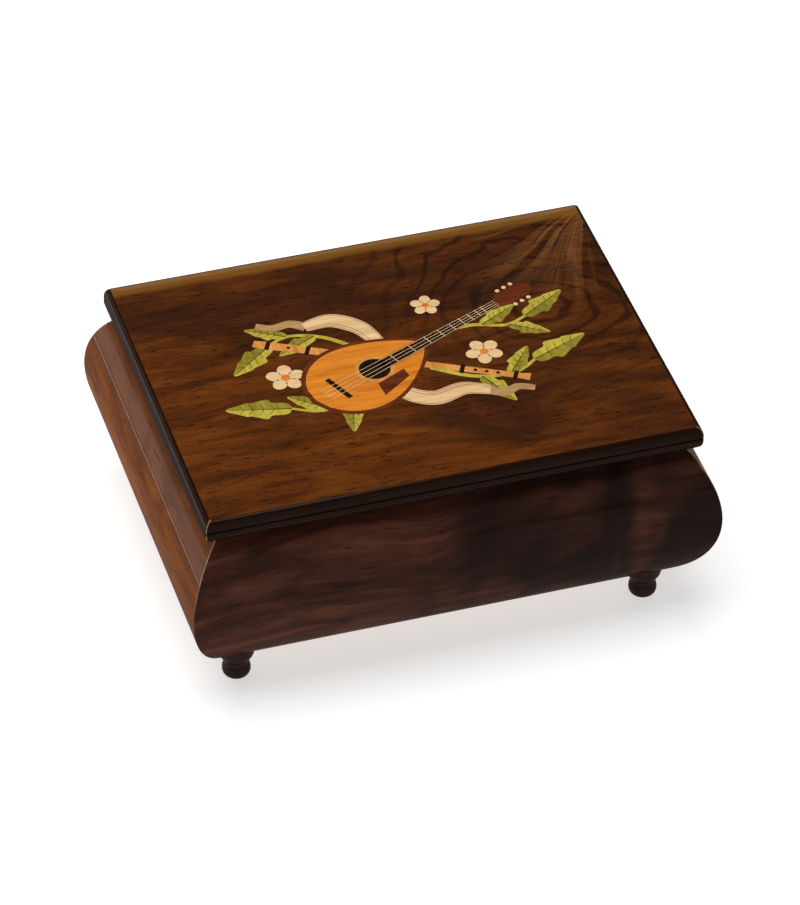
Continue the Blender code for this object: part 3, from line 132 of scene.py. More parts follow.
class Shader:
    """A Principled material with short ways to add nodes to it."""

    def __init__(self, name, **values):
        self.material = bpy.data.materials.new(name)
        self.material.use_nodes = True
        self.tree = self.material.node_tree
        self.bsdf = self.tree.nodes["Principled BSDF"]
        for socket, value in values.items():
            self.bsdf.inputs[socket.replace("_", " ")].default_value = value

    def add(self, kind, inputs=(), **settings):
        node = self.tree.nodes.new(kind)
        for key, value in settings.items():
            setattr(node, key, value)
        for key, value in dict(inputs).items():
            if isinstance(value, bpy.types.NodeSocket):
                self.tree.links.new(value, node.inputs[key])
            else:
                node.inputs[key].default_value = value
        return node

    def place(self):
        return self.add("ShaderNodeTexCoord").outputs["Object"]

    def split(self, vector):
        return self.add("ShaderNodeSeparateXYZ", {"Vector": vector}).outputs

    def vector(self, operation, a, b):
        return self.add("ShaderNodeVectorMath", {0: a, 1: b}, operation=operation).outputs[0]

    def math(self, operation, a, b=0.0):
        return self.add("ShaderNodeMath", {0: a, 1: b}, operation=operation).outputs[0]

    def product(self, first, *others):
        for other in others:
            first = self.math("MULTIPLY", first, other)
        return first

    def noise(self, vector, scale, detail=3.0, roughness=0.55, distortion=0.0):
        values = {"Vector": vector, "Scale": scale, "Detail": detail}
        values |= {"Roughness": roughness, "Distortion": distortion}
        return self.add("ShaderNodeTexNoise", values).outputs["Fac"]

    def stretched(self, vector, scales, **settings):
        """A noise with a scale of its own along each axis."""
        return self.noise(self.vector("MULTIPLY", vector, scales), 1.0, **settings)

    def warped(self, vector, scale, amount):
        """A vector pushed about by a broad noise."""
        values = {"Vector": vector, "Scale": scale, "Detail": 2.0}
        push = self.add("ShaderNodeTexNoise", values).outputs["Color"]
        centred = self.vector("SUBTRACT", push, (0.5, 0.5, 0.5))
        return self.vector("ADD", vector, self.vector("MULTIPLY", centred, (amount,) * 3))

    def ramp(self, factor, stops):
        node = self.add("ShaderNodeValToRGB", {"Fac": factor})
        points = node.color_ramp.elements
        while len(points) < len(stops):
            points.new(0.5)
        for point, (position, colour) in zip(points, stops):
            point.position = position
            point.color = (*colour, 1.0)
        return node.outputs["Color"]

    def level(self, factor, low, high, to_low=0.0, to_high=1.0):
        """A factor stretched from low..high to another range, and held inside it."""
        values = {"Value": factor, "From Min": low, "From Max": high}
        values |= {"To Min": to_low, "To Max": to_high}
        return self.add("ShaderNodeMapRange", values, clamp=True).outputs["Result"]

    def lay(self, colour, over, *factors):
        """A colour with another laid over it, by the product of the factors."""
        values = {MIX_FACTOR: self.product(*factors), MIX_UNDER: colour, MIX_OVER: (*over, 1.0)}
        return self.add("ShaderNodeMix", values, data_type="RGBA").outputs[MIX_RESULT]

    def set(self, **sockets):
        for socket, output in sockets.items():
            self.tree.links.new(output, self.bsdf.inputs[socket.replace("_", " ")])

    def bump(self, height, strength, distance):
        values = {"Height": height, "Strength": strength, "Distance": distance}
        self.set(Normal=self.add("ShaderNodeBump", values).outputs["Normal"])


def srgb(red, green, blue):
    """A display colour, 0 to 255, in linear light."""
    return tuple(
        v / 12.92 if v <= 0.04045 else ((v + 0.055) / 1.055) ** 2.4
        for v in (red / 255, green / 255, blue / 255)
    )


# Colours of the wood and of light painted on it, from dark to light where there are several
WALNUT_PURPLE = (srgb(34, 18, 13), srgb(60, 32, 22), srgb(84, 47, 34))
WALNUT_RUSSET = (srgb(64, 31, 7), srgb(98, 50, 10), srgb(118, 63, 16))
# painted reflection: the greyer tone the short walls take above the belly, as if reflecting the
# far floor
WALNUT_PAINTED_REFLECTION = srgb(82, 50, 33)
WALNUT_SMOKE = srgb(20, 11, 9)
# painted light: the lighter tone of the walls' lowest strip, as if lit from the white floor
WALNUT_PAINTED_FLOOR_LIGHT = srgb(104, 52, 30)
BARE_MITRE = srgb(170, 138, 104)
LID_WALNUT = (srgb(60, 29, 9), srgb(84, 42, 12), srgb(104, 55, 17))
LID_BAND = srgb(40, 21, 12)
LID_DEEP = srgb(46, 24, 12)
LID_RING = srgb(26, 13, 8)
LID_RAY, LID_RAY_GAP = srgb(136, 88, 48), srgb(40, 23, 14)
LID_PORE = srgb(28, 14, 7)
# painted reflection: a pale olive band along the lid's back edge, standing in for its rim
# reflecting light
LID_PAINTED_REFLECTION = srgb(116, 76, 26)
EDGE_STAIN = (srgb(22, 10, 5), srgb(36, 18, 10))
FOOT_STAIN = (srgb(26, 13, 8), srgb(50, 26, 16))
INNER_STAIN = (srgb(52, 27, 18), srgb(96, 54, 34))
RUBBED_STAIN, BARE_CORNER = srgb(110, 74, 48), srgb(150, 116, 84)

# Where the looks change on the walls and the lid
WALL_PAINTED_REFLECTION_BAND = (0.050, 0.056)  # heights where the painted reflection comes in
WALL_MITRE_WEAR = (0.044, 0.058)  # heights
# height of the strip of painted floor light along the walls' lower edge
WALL_PAINTED_FLOOR_LIGHT_BAND = 7 * MM
WALL_SMOKE_FROM = (-0.03, 0.02)  # along the wall
MITRE_WEAR_REACH = 0.0004
LID_BARE_FROM = (LID_LOW[2] + 0.2 * MM, LID_LOW[2] + 0.7 * MM)
LID_SWIRL_CENTRE = (0.052, 0.012, 0.0)
LID_SWIRL_REACH = (0.105, 0.060)  # from the back corner
LID_RAY_REACH = (0.062, 0.012)  # from the back corner
LID_PAINTED_REFLECTION_FROM = (0.0540, 0.0562)  # towards the back, where the band of painted reflection lies


def grain_scale(axis, along, across):
    return tuple(along if i == axis else across for i in range(3))


def grain(s, axis, along=14.0, across=150.0, wander=0.012):
    """Broad streaks and fine pores along an axis: (streaks, pores)."""
    place = s.warped(s.place(), 22.0, wander)
    scales = grain_scale(axis, along, across)
    streaks = s.stretched(place, scales, detail=5.0, roughness=0.62, distortion=0.5)
    pores = s.stretched(place, grain_scale(axis, *PORE_SCALES), detail=2.0, roughness=0.6)
    return streaks, pores


def lacquer(name, coat=THIN_COAT):
    gloss = {"Coat_Weight": coat, "Coat_Roughness": 0.05}
    return Shader(name, Roughness=0.4, Specular_IOR_Level=0.0, **gloss)


def from_mitre(s, half):
    """The distance, along the wall, from the diagonal where two sides of a rectangle meet."""
    at = s.split(s.place())
    across = s.math("SUBTRACT", s.math("ABSOLUTE", at["X"]), s.math("ABSOLUTE", at["Y"]))
    return s.math("ABSOLUTE", s.math("SUBTRACT", across, half.x - half.y))


def walnut_wall(name, axis, dark, middle, light, upper=None, smoky=0.0):
    """Lacquered walnut veneer with its grain along an axis, worn mitres and painted floor light.

    The lowest strip is painted lighter, as if lit from the white floor. Above the belly the veneer
    may be greyed over by a painted reflection, and carry smoky patches to the right.
    """
    s = lacquer(name)
    streaks, pores = grain(s, axis)
    at = s.split(s.place())
    colour = s.ramp(streaks, ((0.32, dark), (0.5, middle), (0.68, light)))
    # painted reflection: above the belly band the veneer is greyed over, as by a reflection of the
    # far floor
    if upper:
        colour = s.lay(colour, upper, s.level(at["Z"], *WALL_PAINTED_REFLECTION_BAND), 0.7)
    blotch = s.stretched(s.place(), grain_scale(axis, 22.0, 55.0), distortion=1.2)
    colour = s.lay(colour, dark, s.level(blotch, 0.5, 0.72), 0.8)
    if smoky:
        scales = (34.0, 12.0, 18.0)
        clouds = s.stretched(s.place(), scales, detail=2.0, roughness=0.5, distortion=0.9)
        right = s.level(at["X"], *WALL_SMOKE_FROM)
        colour = s.lay(colour, WALNUT_SMOKE, s.level(clouds, 0.38, 0.58), right, smoky)
    colour = s.lay(colour, tuple(v * 0.35 for v in dark), s.level(pores, 0.62, 0.76))
    scuff = s.noise(s.place(), 260.0)
    reach = s.math("MULTIPLY", s.level(scuff, 0.25, 0.75), MITRE_WEAR_REACH)
    worn = s.math("LESS_THAN", from_mitre(s, BELLY), reach)
    colour = s.lay(colour, BARE_MITRE, worn, s.level(at["Z"], *WALL_MITRE_WEAR), 0.75)
    # painted light: the lowest strip is lightened, as if by light from the white floor
    low = s.level(at["Z"], WALL_LOW[2] + WALL_PAINTED_FLOOR_LIGHT_BAND, WALL_LOW[2])
    colour = s.lay(colour, WALNUT_PAINTED_FLOOR_LIGHT, low, 0.45)
    s.set(Base_Color=colour)
    s.bump(s.math("ADD", s.math("MULTIPLY", pores, 0.5), streaks), strength=0.05, distance=0.0004)
    return s.material


def figured_lid():
    """The lid's veneer: streaks along it, a swirling figure and pale rays from the back corner."""
    s = lacquer("lid_veneer_wood", THICK_COAT)
    dark, middle, light = LID_WALNUT
    place = s.place()
    bent = s.warped(s.warped(place, 9.0, 0.018), 40.0, 0.006)
    streaks = s.stretched(bent, (24.0, 170.0, 60.0), detail=7.0, roughness=0.68, distortion=0.7)
    bands = s.stretched(bent, (9.0, 40.0, 10.0), detail=4.0, distortion=1.0)
    pores = s.stretched(place, (210.0, 1250.0, 60.0), roughness=0.65)
    colour = s.ramp(streaks, ((0.34, dark), (0.5, middle), (0.68, light)))
    colour = s.lay(colour, LID_BAND, s.level(bands, 0.47, 0.66), 0.8)

    at = s.split(s.warped(place, 24.0, 0.007))
    deep = s.math("ADD", s.math("MULTIPLY", at["X"], 0.35), at["Y"])
    colour = s.lay(colour, LID_DEEP, s.level(deep, -0.05, 0.06), 0.35)

    from_x = s.math("SUBTRACT", at["X"], LID_HALF.x)
    from_y = s.math("SUBTRACT", at["Y"], LID_HALF.y)
    squares = s.math("ADD", s.math("MULTIPLY", from_x, from_x), s.math("MULTIPLY", from_y, from_y))
    far = s.math("SQRT", squares)
    swirl_place = s.vector("SUBTRACT", s.warped(place, 16.0, 0.030), LID_SWIRL_CENTRE)
    swirl = {"Vector": swirl_place, "Scale": 40.0, "Distortion": 5.0}
    swirl |= {"Detail": 3.0, "Detail Scale": 1.4}
    wave = s.add("ShaderNodeTexWave", swirl, wave_type="RINGS", rings_direction="Z")
    lines = s.level(wave.outputs["Fac"], 0.24, 0.04)
    colour = s.lay(colour, LID_RING, lines, s.level(far, *LID_SWIRL_REACH), 0.7)

    turn = s.math("MULTIPLY", s.math("ARCTAN2", from_y, from_x), 7.0)
    ray_place = s.add("ShaderNodeCombineXYZ", {"X": turn, "Y": s.math("MULTIPLY", far, 9.0)})
    rays = s.noise(ray_place.outputs[0], 1.0, detail=4.0, roughness=0.6, distortion=0.6)
    near = s.level(far, *LID_RAY_REACH)
    colour = s.lay(colour, LID_RAY, s.level(rays, 0.46, 0.74), near)
    colour = s.lay(colour, LID_RAY_GAP, s.level(rays, 0.46, 0.26), near)

    colour = s.lay(colour, LID_PORE, s.level(pores, 0.57, 0.66), 0.85)
    # painted reflection: a pale band along the back edge, as the back rim would reflect light
    back = s.split(s.warped(place, 40.0, 0.004))["Y"]
    colour = s.lay(colour, LID_PAINTED_REFLECTION, s.level(back, *LID_PAINTED_REFLECTION_FROM), 0.72)
    s.set(Base_Color=colour)
    s.bump(s.math("ADD", s.math("MULTIPLY", pores, 0.4), streaks), strength=0.035, distance=0.0004)
    return s.material


def dark_wood(name, axis, dark, light, wear=0.0, bare_corners=0.0, coat=THIN_COAT):
    """Stained hardwood, worn in specks and, where asked, bare along the lid's four corners."""
    s = lacquer(name, coat)
    streaks, pores = grain(s, axis, along=30.0, across=260.0)
    colour = s.ramp(streaks, ((0.3, dark), (0.75, light)))
    scuff = s.noise(s.place(), 420.0, detail=4.0, roughness=0.6)
    if wear:
        edge = s.level(s.add("ShaderNodeNewGeometry").outputs["Pointiness"], 0.52, 0.60)
        colour = s.lay(colour, RUBBED_STAIN, edge, s.level(scuff, 0.42, 0.62), wear)
    if bare_corners:
        reach = s.math("MULTIPLY", s.level(scuff, 0.3, 0.7), MITRE_WEAR_REACH)
        bare = s.math("LESS_THAN", from_mitre(s, LID_HALF), reach)
        above = s.level(s.split(s.place())["Z"], *LID_BARE_FROM)
        colour = s.lay(colour, BARE_CORNER, bare, above, bare_corners)
    s.set(Base_Color=colour)
    s.bump(pores, strength=0.03, distance=0.0003)
    return s.material


def veneer(name, dark, light, axis=0):
    """A small piece of dyed or natural veneer in the inlay."""
    s = lacquer(name, THICK_COAT)
    streaks, pores = grain(s, axis, along=40.0, across=420.0, wander=0.006)
    colour = s.ramp(streaks, ((0.3, dark), (0.7, light)))
    colour = s.lay(colour, tuple(v * 0.5 for v in dark), s.level(pores, 0.6, 0.8), 0.35)
    s.set(Base_Color=colour)
    s.bump(streaks, strength=0.03, distance=0.0003)
    return s.material


def metal(name, dark, light, smooth, rough, scratch_axis=0):
    """A metal with a clouded colour and fine scratches between two roughnesses."""
    s = Shader(name, Metallic=1.0)
    cloud = s.noise(s.place(), 70.0, detail=4.0, roughness=0.6)
    fine = s.stretched(s.place(), grain_scale(scratch_axis, 300.0, 5200.0), detail=2.0)
    s.set(Base_Color=s.ramp(cloud, ((0.3, dark), (0.7, light))))
    s.set(Roughness=s.level(fine, 0.3, 0.7, smooth, rough))
    s.bump(fine, strength=0.02, distance=0.000002)
    return s.material


def felt(name, dark, light):
    sheen = {"Sheen_Weight": 0.05, "Sheen_Roughness": 0.4}
    s = Shader(name, Roughness=0.95, Specular_IOR_Level=0.1, **sheen)
    fuzz = s.noise(s.place(), 2600.0, detail=4.0, roughness=0.7)
    pile = s.noise(s.place(), 240.0, detail=4.0, roughness=0.6)
    mottle = s.math("ADD", s.math("MULTIPLY", fuzz, 0.5), s.math("MULTIPLY", pile, 0.5))
    s.set(Base_Color=s.ramp(mottle, ((0.36, dark), (0.64, light))))
    s.bump(fuzz, strength=0.5, distance=0.0006)
    return s.material


def plywood(name, dark, light, pore):
    s = Shader(name, Roughness=0.62)
    streaks, pores = grain(s, 0, along=10.0, across=90.0)
    colour = s.ramp(streaks, ((0.3, dark), (0.7, light)))
    s.set(Base_Color=s.lay(colour, pore, s.level(pores, 0.6, 0.75)))
    s.bump(pores, strength=0.15, distance=0.0004)
    return s.material


def clear_pane(name):
    s = Shader(name, Base_Color=(0.97, 0.985, 0.98, 1.0), Transmission_Weight=1.0, IOR=1.49)
    haze = s.noise(s.place(), 90.0, detail=4.0, roughness=0.6)
    s.set(Roughness=s.level(haze, 0.45, 0.75, 0.0, 0.06))
    return s.material


# Meshes


def add_object(name, mesh, materials, body, *replaced, slot, sharp=32):
    """A piece that rides on a body, with its edges sharp from an angle in degrees."""
    mesh.shade_smooth()
    mesh.set_sharp_from_angle(angle=math.radians(sharp))
    for finish in materials:
        mesh.materials.append(finish)
    obj = bpy.data.objects.new(name, mesh)
    bpy.context.scene.collection.objects.link(obj)
    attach(obj, body)
    if replaced:
        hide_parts(*replaced)


def loft(rings, finish_of=None):
    """A closed mesh through rings of as many points each, capped at both ends."""
    bm = bmesh.new()
    made = [[bm.verts.new(point) for point in ring] for ring in rings]
    caps = (bm.faces.new(made[0]), bm.faces.new(made[-1]))
    if finish_of:
        caps[0].material_index, caps[1].material_index = finish_of(0), finish_of(len(made) - 2)
    for row, (lower, upper) in enumerate(zip(made, made[1:])):
        for i, corner in enumerate(lower):
            j = (i + 1) % len(lower)
            face = bm.faces.new((corner, lower[j], upper[j], upper[i]))
            if finish_of:
                face.material_index = finish_of(row)
    bmesh.ops.recalc_face_normals(bm, faces=bm.faces)
    mesh = bpy.data.meshes.new("shape")
    bm.to_mesh(mesh)
    bm.free()
    return mesh


def box_mesh(low, high):
    corners = ((low[0], low[1]), (high[0], low[1]), (high[0], high[1]), (low[0], high[1]))
    return loft([[(x, y, z) for x, y in corners] for z in (low[2], high[2])])


def cut_away(mesh, boxes):
    """A mesh with boxes taken out of it."""
    body = bpy.data.objects.new("cut_body", mesh)
    bpy.context.scene.collection.objects.link(body)
    helpers = []
    for low, high in boxes:
        helper = bpy.data.objects.new("cut_box", box_mesh(low, high))
        bpy.context.scene.collection.objects.link(helper)
        modifier = body.modifiers.new("cut", "BOOLEAN")
        modifier.operation, modifier.solver, modifier.object = "DIFFERENCE", "EXACT", helper
        helpers.append(helper)
    bpy.context.view_layer.update()
    shaped = body.evaluated_get(bpy.context.evaluated_depsgraph_get())
    result = bpy.data.meshes.new_from_object(shaped)
    for obj in (*helpers, body):
        bpy.data.objects.remove(obj)
    return result


def circle(radius, count):
    turns = [2 * math.pi * i / count for i in range(count)]
    return [(radius * math.cos(turn), radius * math.sin(turn)) for turn in turns]


def rounded_rectangle(half_x, half_y, radius):
    points = []
    for sx, sy, start in ((1, -1, -90), (1, 1, 0), (-1, 1, 90), (-1, -1, 180)):
        for step in range(CORNER_STEPS + 1):
            angle = math.radians(start + QUARTER_TURN * step / CORNER_STEPS)
            x = sx * (half_x - radius) + radius * math.cos(angle)
            y = sy * (half_y - radius) + radius * math.sin(angle)
            points.append((x, y))
    return points


def turned(profile, sides=TURNED_SIDES):
    rings = [[(x, y, height) for x, y in circle(radius, sides)] for radius, height in profile]
    return loft(rings)


def smooth_line(points, steps=5):
    """A smooth curve through points, with more points between them."""
    ends = [points[0], *points, points[-1]]
    line = []
    for i in range(1, len(ends) - 2):
        before, start, end, after = (Vector(ends[i + k]) for k in (-1, 0, 1, 2))
        slope = end - before
        bend = 2 * before - 5 * start + 4 * end - after
        twist = 3 * start - before - 3 * end + after
        for step in range(steps):
            t = step / steps
            line.append(0.5 * (2 * start + slope * t + bend * t * t + twist * t**3))
    return [*line, Vector(points[-1])]


def side_of(line, i):
    """The direction across a line of points, to the left, at one of them."""
    ahead = Vector(line[min(i + 1, len(line) - 1)]) - Vector(line[max(i - 1, 0)])
    return Vector((-ahead.y, ahead.x)).normalized()


# Case


def pocket_boxes(kind):
    """The hinge pockets of the lid or of the rear wall, from the leaves that lie in them."""
    boxes = []
    for side in ("left", "right"):
        low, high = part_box(f"hinge_{side}_{kind}_leaf")
        if kind == "case":
            bottom, top = low[2] - POCKET_GAP, LID_LOW[2] + POCKET_PAST
        else:
            bottom, top = LID_LOW[2] - POCKET_PAST, high[2] + POCKET_GAP
        near = (low[0] - POCKET_GAP, low[1] - POCKET_GAP, bottom)
        far = (high[0] + POCKET_GAP, LID_HIGH[1] + POCKET_BEHIND, top)
        boxes.append((near, far))
    return boxes


def wall_mesh(outward, along, inner, belly, across):
    """A wall with a round belly, a rabbet for the base and ends cut to the mitre."""
    section = [(inner, WALL_HIGH[2])]
    for step in range(WALL_STEPS + 1):
        height = WALL_HIGH[2] + (WALL_LOW[2] - WALL_HIGH[2]) * step / WALL_STEPS
        rise = height - BELLY_LEVEL
        section.append((belly - BELLY_RADIUS + math.sqrt(BELLY_RADIUS**2 - rise**2), height))
    rabbet = inner + RABBET
    section += [(rabbet, WALL_LOW[2]), (rabbet, RABBET_TOP), (inner, RABBET_TOP)]
    rings = []
    for end in (-1, 1):
        ring = []
        for out, height in section:
            place = outward * out + along * end * (out + across - MITRE_GAP)
            ring.append((place.x, place.y, height))
        rings.append(ring)
    return loft(rings)


def make_walls():
    # both wall finishes carry painted floor light along their lower edge
    finish_x = walnut_wall("wall_veneer_long", 0, *WALNUT_PURPLE, smoky=0.85)
    # the short walls carry the painted reflection above the belly
    finish_y = walnut_wall("wall_veneer_short", 1, *WALNUT_RUSSET, upper=WALNUT_PAINTED_REFLECTION)
    front, right = Vector((0, -1)), Vector((1, 0))
    spread = BELLY.x - BELLY.y
    for name, outward, along, inner, belly, across, finish in (
        ("front_wall", front, right, INNER_Y, BELLY.y, spread, finish_x),
        ("rear_wall", -front, right, INNER_Y, BELLY.y, spread, finish_x),
        ("left_wall", -right, front, INNER_X, BELLY.x, -spread, finish_y),
        ("right_wall", right, front, INNER_X, BELLY.x, -spread, finish_y),
    ):
        mesh = wall_mesh(outward, along, inner, belly, across)
        if name == "rear_wall":
            mesh = cut_away(mesh, pocket_boxes("case"))
        add_object(f"{name}_veneered", mesh, [finish], "case", name, slot="walnut")


def lid_rows():
    """The lid's section as (inset, drop) from the top inwards to the underside, in two parts."""
    depth = LID_HIGH[2] - LID_LOW[2]
    sunk = LID_HIGH[2] - LID_TOP
    roll = []
    for step in range(LID_ROLL_STEPS):
        t = step / LID_ROLL_STEPS
        roll.append((LID_ROUND + LID_ROLL_WIDTH * (1 - t), sunk + LID_ROLL_DROP * t**2))
    quarter = [
        math.radians(QUARTER_TURN * step / LID_ROUND_STEPS) for step in range(LID_ROUND_STEPS + 1)
    ]
    edge = []
    for angle in quarter:
        fall = (LID_ROUND_DEPTH - sunk) * (1 - math.cos(angle))
        edge.append((LID_ROUND * (1 - math.sin(angle)), sunk + LID_ROLL_DROP + fall))
    edge += [(inset * MM, drop * MM) for inset, drop in LID_QUIRK_MM]
    for angle in quarter:
        fall = (depth - LID_LOWER_ROUND) * math.sin(angle)
        edge.append((LID_ROUND * (1 - math.cos(angle)), LID_LOWER_ROUND + fall))
    return roll, edge


def make_lid():
    """The lid: a figured top that rolls off a little towards the edge, and a dark moulded edge."""
    roll, edge = lid_rows()
    rings = []
    for inset, drop in roll + edge:
        outline = rounded_rectangle(LID_HALF.x - inset, LID_HALF.y - inset, LID_CORNER)
        rings.append([(x, y, LID_HIGH[2] - drop) for x, y in outline])
    mesh = loft(rings, lambda row: 0 if row < len(roll) else 1)
    mesh = cut_away(mesh, pocket_boxes("lid"))
    edge_finish = dark_wood("lid_edge_wood", 0, *EDGE_STAIN, bare_corners=0.7, coat=0.1)
    finishes = [figured_lid(), edge_finish]
    add_object("lid_inlaid", mesh, finishes, "lid", "lid_board", slot="walnut")


def make_feet():
    line = [(p.x * MM, p.y * MM) for p in smooth_line(FOOT_PROFILE_MM)]
    finish = dark_wood("foot_wood", 2, *FOOT_STAIN, wear=0.35, coat=0.22)
    for corner in ("front_left", "front_right", "rear_left", "rear_right"):
        node = f"foot_{corner}"
        low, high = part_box(node)
        mesh = turned(line)
        centre = ((low[0] + high[0]) / 2, (low[1] + high[1]) / 2, 0.0)
        mesh.transform(Matrix.Translation(centre))
        add_object(
            f"{node}_turned", mesh, [finish], "case", node, slot="dark_stained_wood", sharp=50
        )


def soft_panel(node, body, finish):
    """A felt-covered board with soft edges and a slight crown, in the place of a lining."""
    low, high = (Vector(corner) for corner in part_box(node))
    size, middle = high - low, (low + high) / 2
    thin = min(range(3), key=lambda i: size[i])
    wide, tall = (i for i in range(3) if i != thin)
    rows = [(inset * MM, rise * MM) for inset, rise in PANEL_ROWS_MM]
    rows += [(inset, size[thin] - rise) for inset, rise in rows[::-1]]
    rings = []
    for inset, rise in rows:
        half_wide, half_tall = size[wide] / 2 - inset, size[tall] / 2 - inset
        ring = []
        for u, v in rounded_rectangle(half_wide, half_tall, PANEL_CORNER):
            point = middle.copy()
            point[thin] = low[thin] + rise
            point[wide] += u
            point[tall] += v
            ring.append(point)
        rings.append(ring)
    add_object(f"{node}_felted", loft(rings), [finish], body, node, slot="felt", sharp=60)


def make_linings():
    plush = felt("red_felt", srgb(86, 14, 20), srgb(138, 28, 34))
    for wall in ("floor", "front", "rear", "left", "right"):
        soft_panel(f"lining_{wall}", "case", plush)
    soft_panel("lid_lining", "lid", plush)


def make_hinge_screws(finish):
    """Slotted screw heads, a little proud of the hinge leaves and each turned another way."""
    profile = [(radius * MM, height * MM) for radius, height in SCREW_PROFILE_MM]
    head = cut_away(turned(profile, SCREW_SIDES), [SCREW_SLOT])
    for body, level, tilt in (("case", WALL_HIGH[2], 0.0), ("lid", LID_LOW[2], math.pi)):
        bm = bmesh.new()
        for number, side in enumerate(("left", "right")):
            low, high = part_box(f"hinge_{side}_{body}_leaf")
            for offset in SCREW_OFFSETS:
                spin = Matrix.Rotation(0.4 + 47 * offset / MM + number, 4, "Z")
                centre = ((low[0] + high[0]) / 2 + offset, low[1] + SCREW_FROM_FRONT, level)
                copy = head.copy()
                copy.transform(Matrix.Translation(centre) @ Matrix.Rotation(tilt, 4, "X") @ spin)
                bm.from_mesh(copy)
                bpy.data.meshes.remove(copy)
        mesh = bpy.data.meshes.new("screws")
        bm.to_mesh(mesh)
        bm.free()
        add_object(f"hinge_screws_{body}", mesh, [finish], body, slot="brass")


# Inlay, drawn in millimetres about the middle of the lid

INLAY_LAYER = 0.011 * MM
INLAY_DEPTH = 0.1 * MM

# Branches: points of the stem, and leaves as (share of the stem, lean in degrees, length)
BRANCHES = (
    (
        ((-6, -6), (-18, -15), (-31, -19), (-41, -15)),
        ((0.4, 52, 16), (0.62, -46, 15), (0.98, 12, 21)),
    ),
    (
        ((-10, 6), (-20, 16), (-31, 20), (-39, 17)),
        ((0.45, 50, 15), (0.7, -40, 14), (0.98, 14, 19)),
    ),
    (
        ((8, -8), (20, -16), (33, -18), (42, -13)),
        ((0.4, -50, 16), (0.66, 46, 15), (0.98, -10, 21)),
    ),
    (
        ((14, 8), (27, 9), (38, 6), (46, 9)),
        ((0.45, 48, 15), (0.72, -44, 14), (0.98, 8, 18)),
    ),
)
LEAF_WIDTH, LEAF_RIB = 0.4, 0.94  # these and the veins' sizes are shares of a leaf's length
LEAF_VEINS = (0.26, 0.42, 0.58, 0.72)
VEIN_LEAN, VEIN_REACH = 0.07, 0.13
STEM_WIDTHS, RIB_WIDTHS, VEIN_WIDTH = (1.9, 1.0), (0.5, 0.15), 0.22
LEAF_LOBES, LEAF_STEPS = 3, 32

RIBBON_BANDS = (
    ((-6, -8), (-3, -18), (5, -23), (15, -21), (23, -24)),
    ((-4, 8), (-8, 18), (-16, 24), (-25, 23)),
)
RIBBON_FOLDS = (
    ((22.5, -24), (27, -26.5), (32, -25), (37, -27)),
    ((-24.5, 23), (-29, 26), (-35, 25.5), (-40, 28)),
)
RIBBON_END, RIBBON_SWELL, FOLD_WIDTHS, HEM_WIDTH = 4.5, 2.4, (4.2, 2.6), 0.35
RIBBON_HEMS = (-0.42, 0.42, 0.25)  # shares of the ribbon's width, from its middle

FLUTE_AT = (-3.0, -1.0, -27.0, 1.05)  # x, y, degrees and scale
FLUTE_OUTLINE = (
    (-43, -1.5), (-40, -1.8), (40, -1.25), (43, -1.7),
    (43, 1.7), (40, 1.25), (-40, 1.8), (-43, 1.5),
)
FLUTE_RINGS = (-38.5, -26.0, 22.0, 38.5)
FLUTE_HOLES = (-32.0, 26.0, 29.5, 33.0)
HOLE_RADIUS = 0.62  # of the flute's holes and the mandolin's pegs

MANDOLIN_AT = (-10.0, -4.0, 24.0, 1.28)  # x, y, degrees and scale
MANDOLIN_TAIL, MANDOLIN_LENGTH, MANDOLIN_STEPS = -20, 38, 36
TABLE_MIDDLE, TABLE_LENGTH, TABLE_WIDTH = -1.5, 0.93, 0.915  # the last two as shares of the rim's
SOUND_HOLE, SOUND_HOLE_RADIUS, ROSETTE_RADIUS = (0.5, 0.0), 4.0, 5.1
BRIDGE = (-11.3, 0.7, 4.6)
NECK_START, NECK_END = (2.5, 2.0), (41, 1.35)  # along, and half of the width
MANDOLIN_HEAD = (
    (40.5, -1.5), (44, -2.7), (51, -2.3), (53, -0.9),
    (53, 0.9), (51, 2.3), (44, 2.7), (40.5, 1.5),
)
MANDOLIN_GUARD = ((-4.2, -9.6), (5.4, -7.6), (6.2, -4.6), (-2.6, -4.9))
STRINGS = (-1.1, -0.37, 0.37, 1.1)  # across the neck
STRING_TAIL, STRING_NUT, STRING_SPREAD, STRING_HALF = -15.5, 41.5, 1.9, 0.07
PEGS = [(x, y) for x in (45.0, 47.2, 49.4) for y in (-3.5, 3.5)]
FRETS, FRET_RATIO = 9, 0.86
FRET_START, FRET_SPAN, FRET_HALF = 7.0, 32.0, 0.12

FLOWERS = ((-38, 0, 6.4, 10), (27, -5, 6.2, 40), (16, 23, 5.0, 5))  # x, y, size and turn
PETALS, PETAL_STEPS = 5, 12
PETAL_START, PETAL_HALF, HEART_RADIUS = 0.18, 0.36, 0.24  # shares of a flower's size


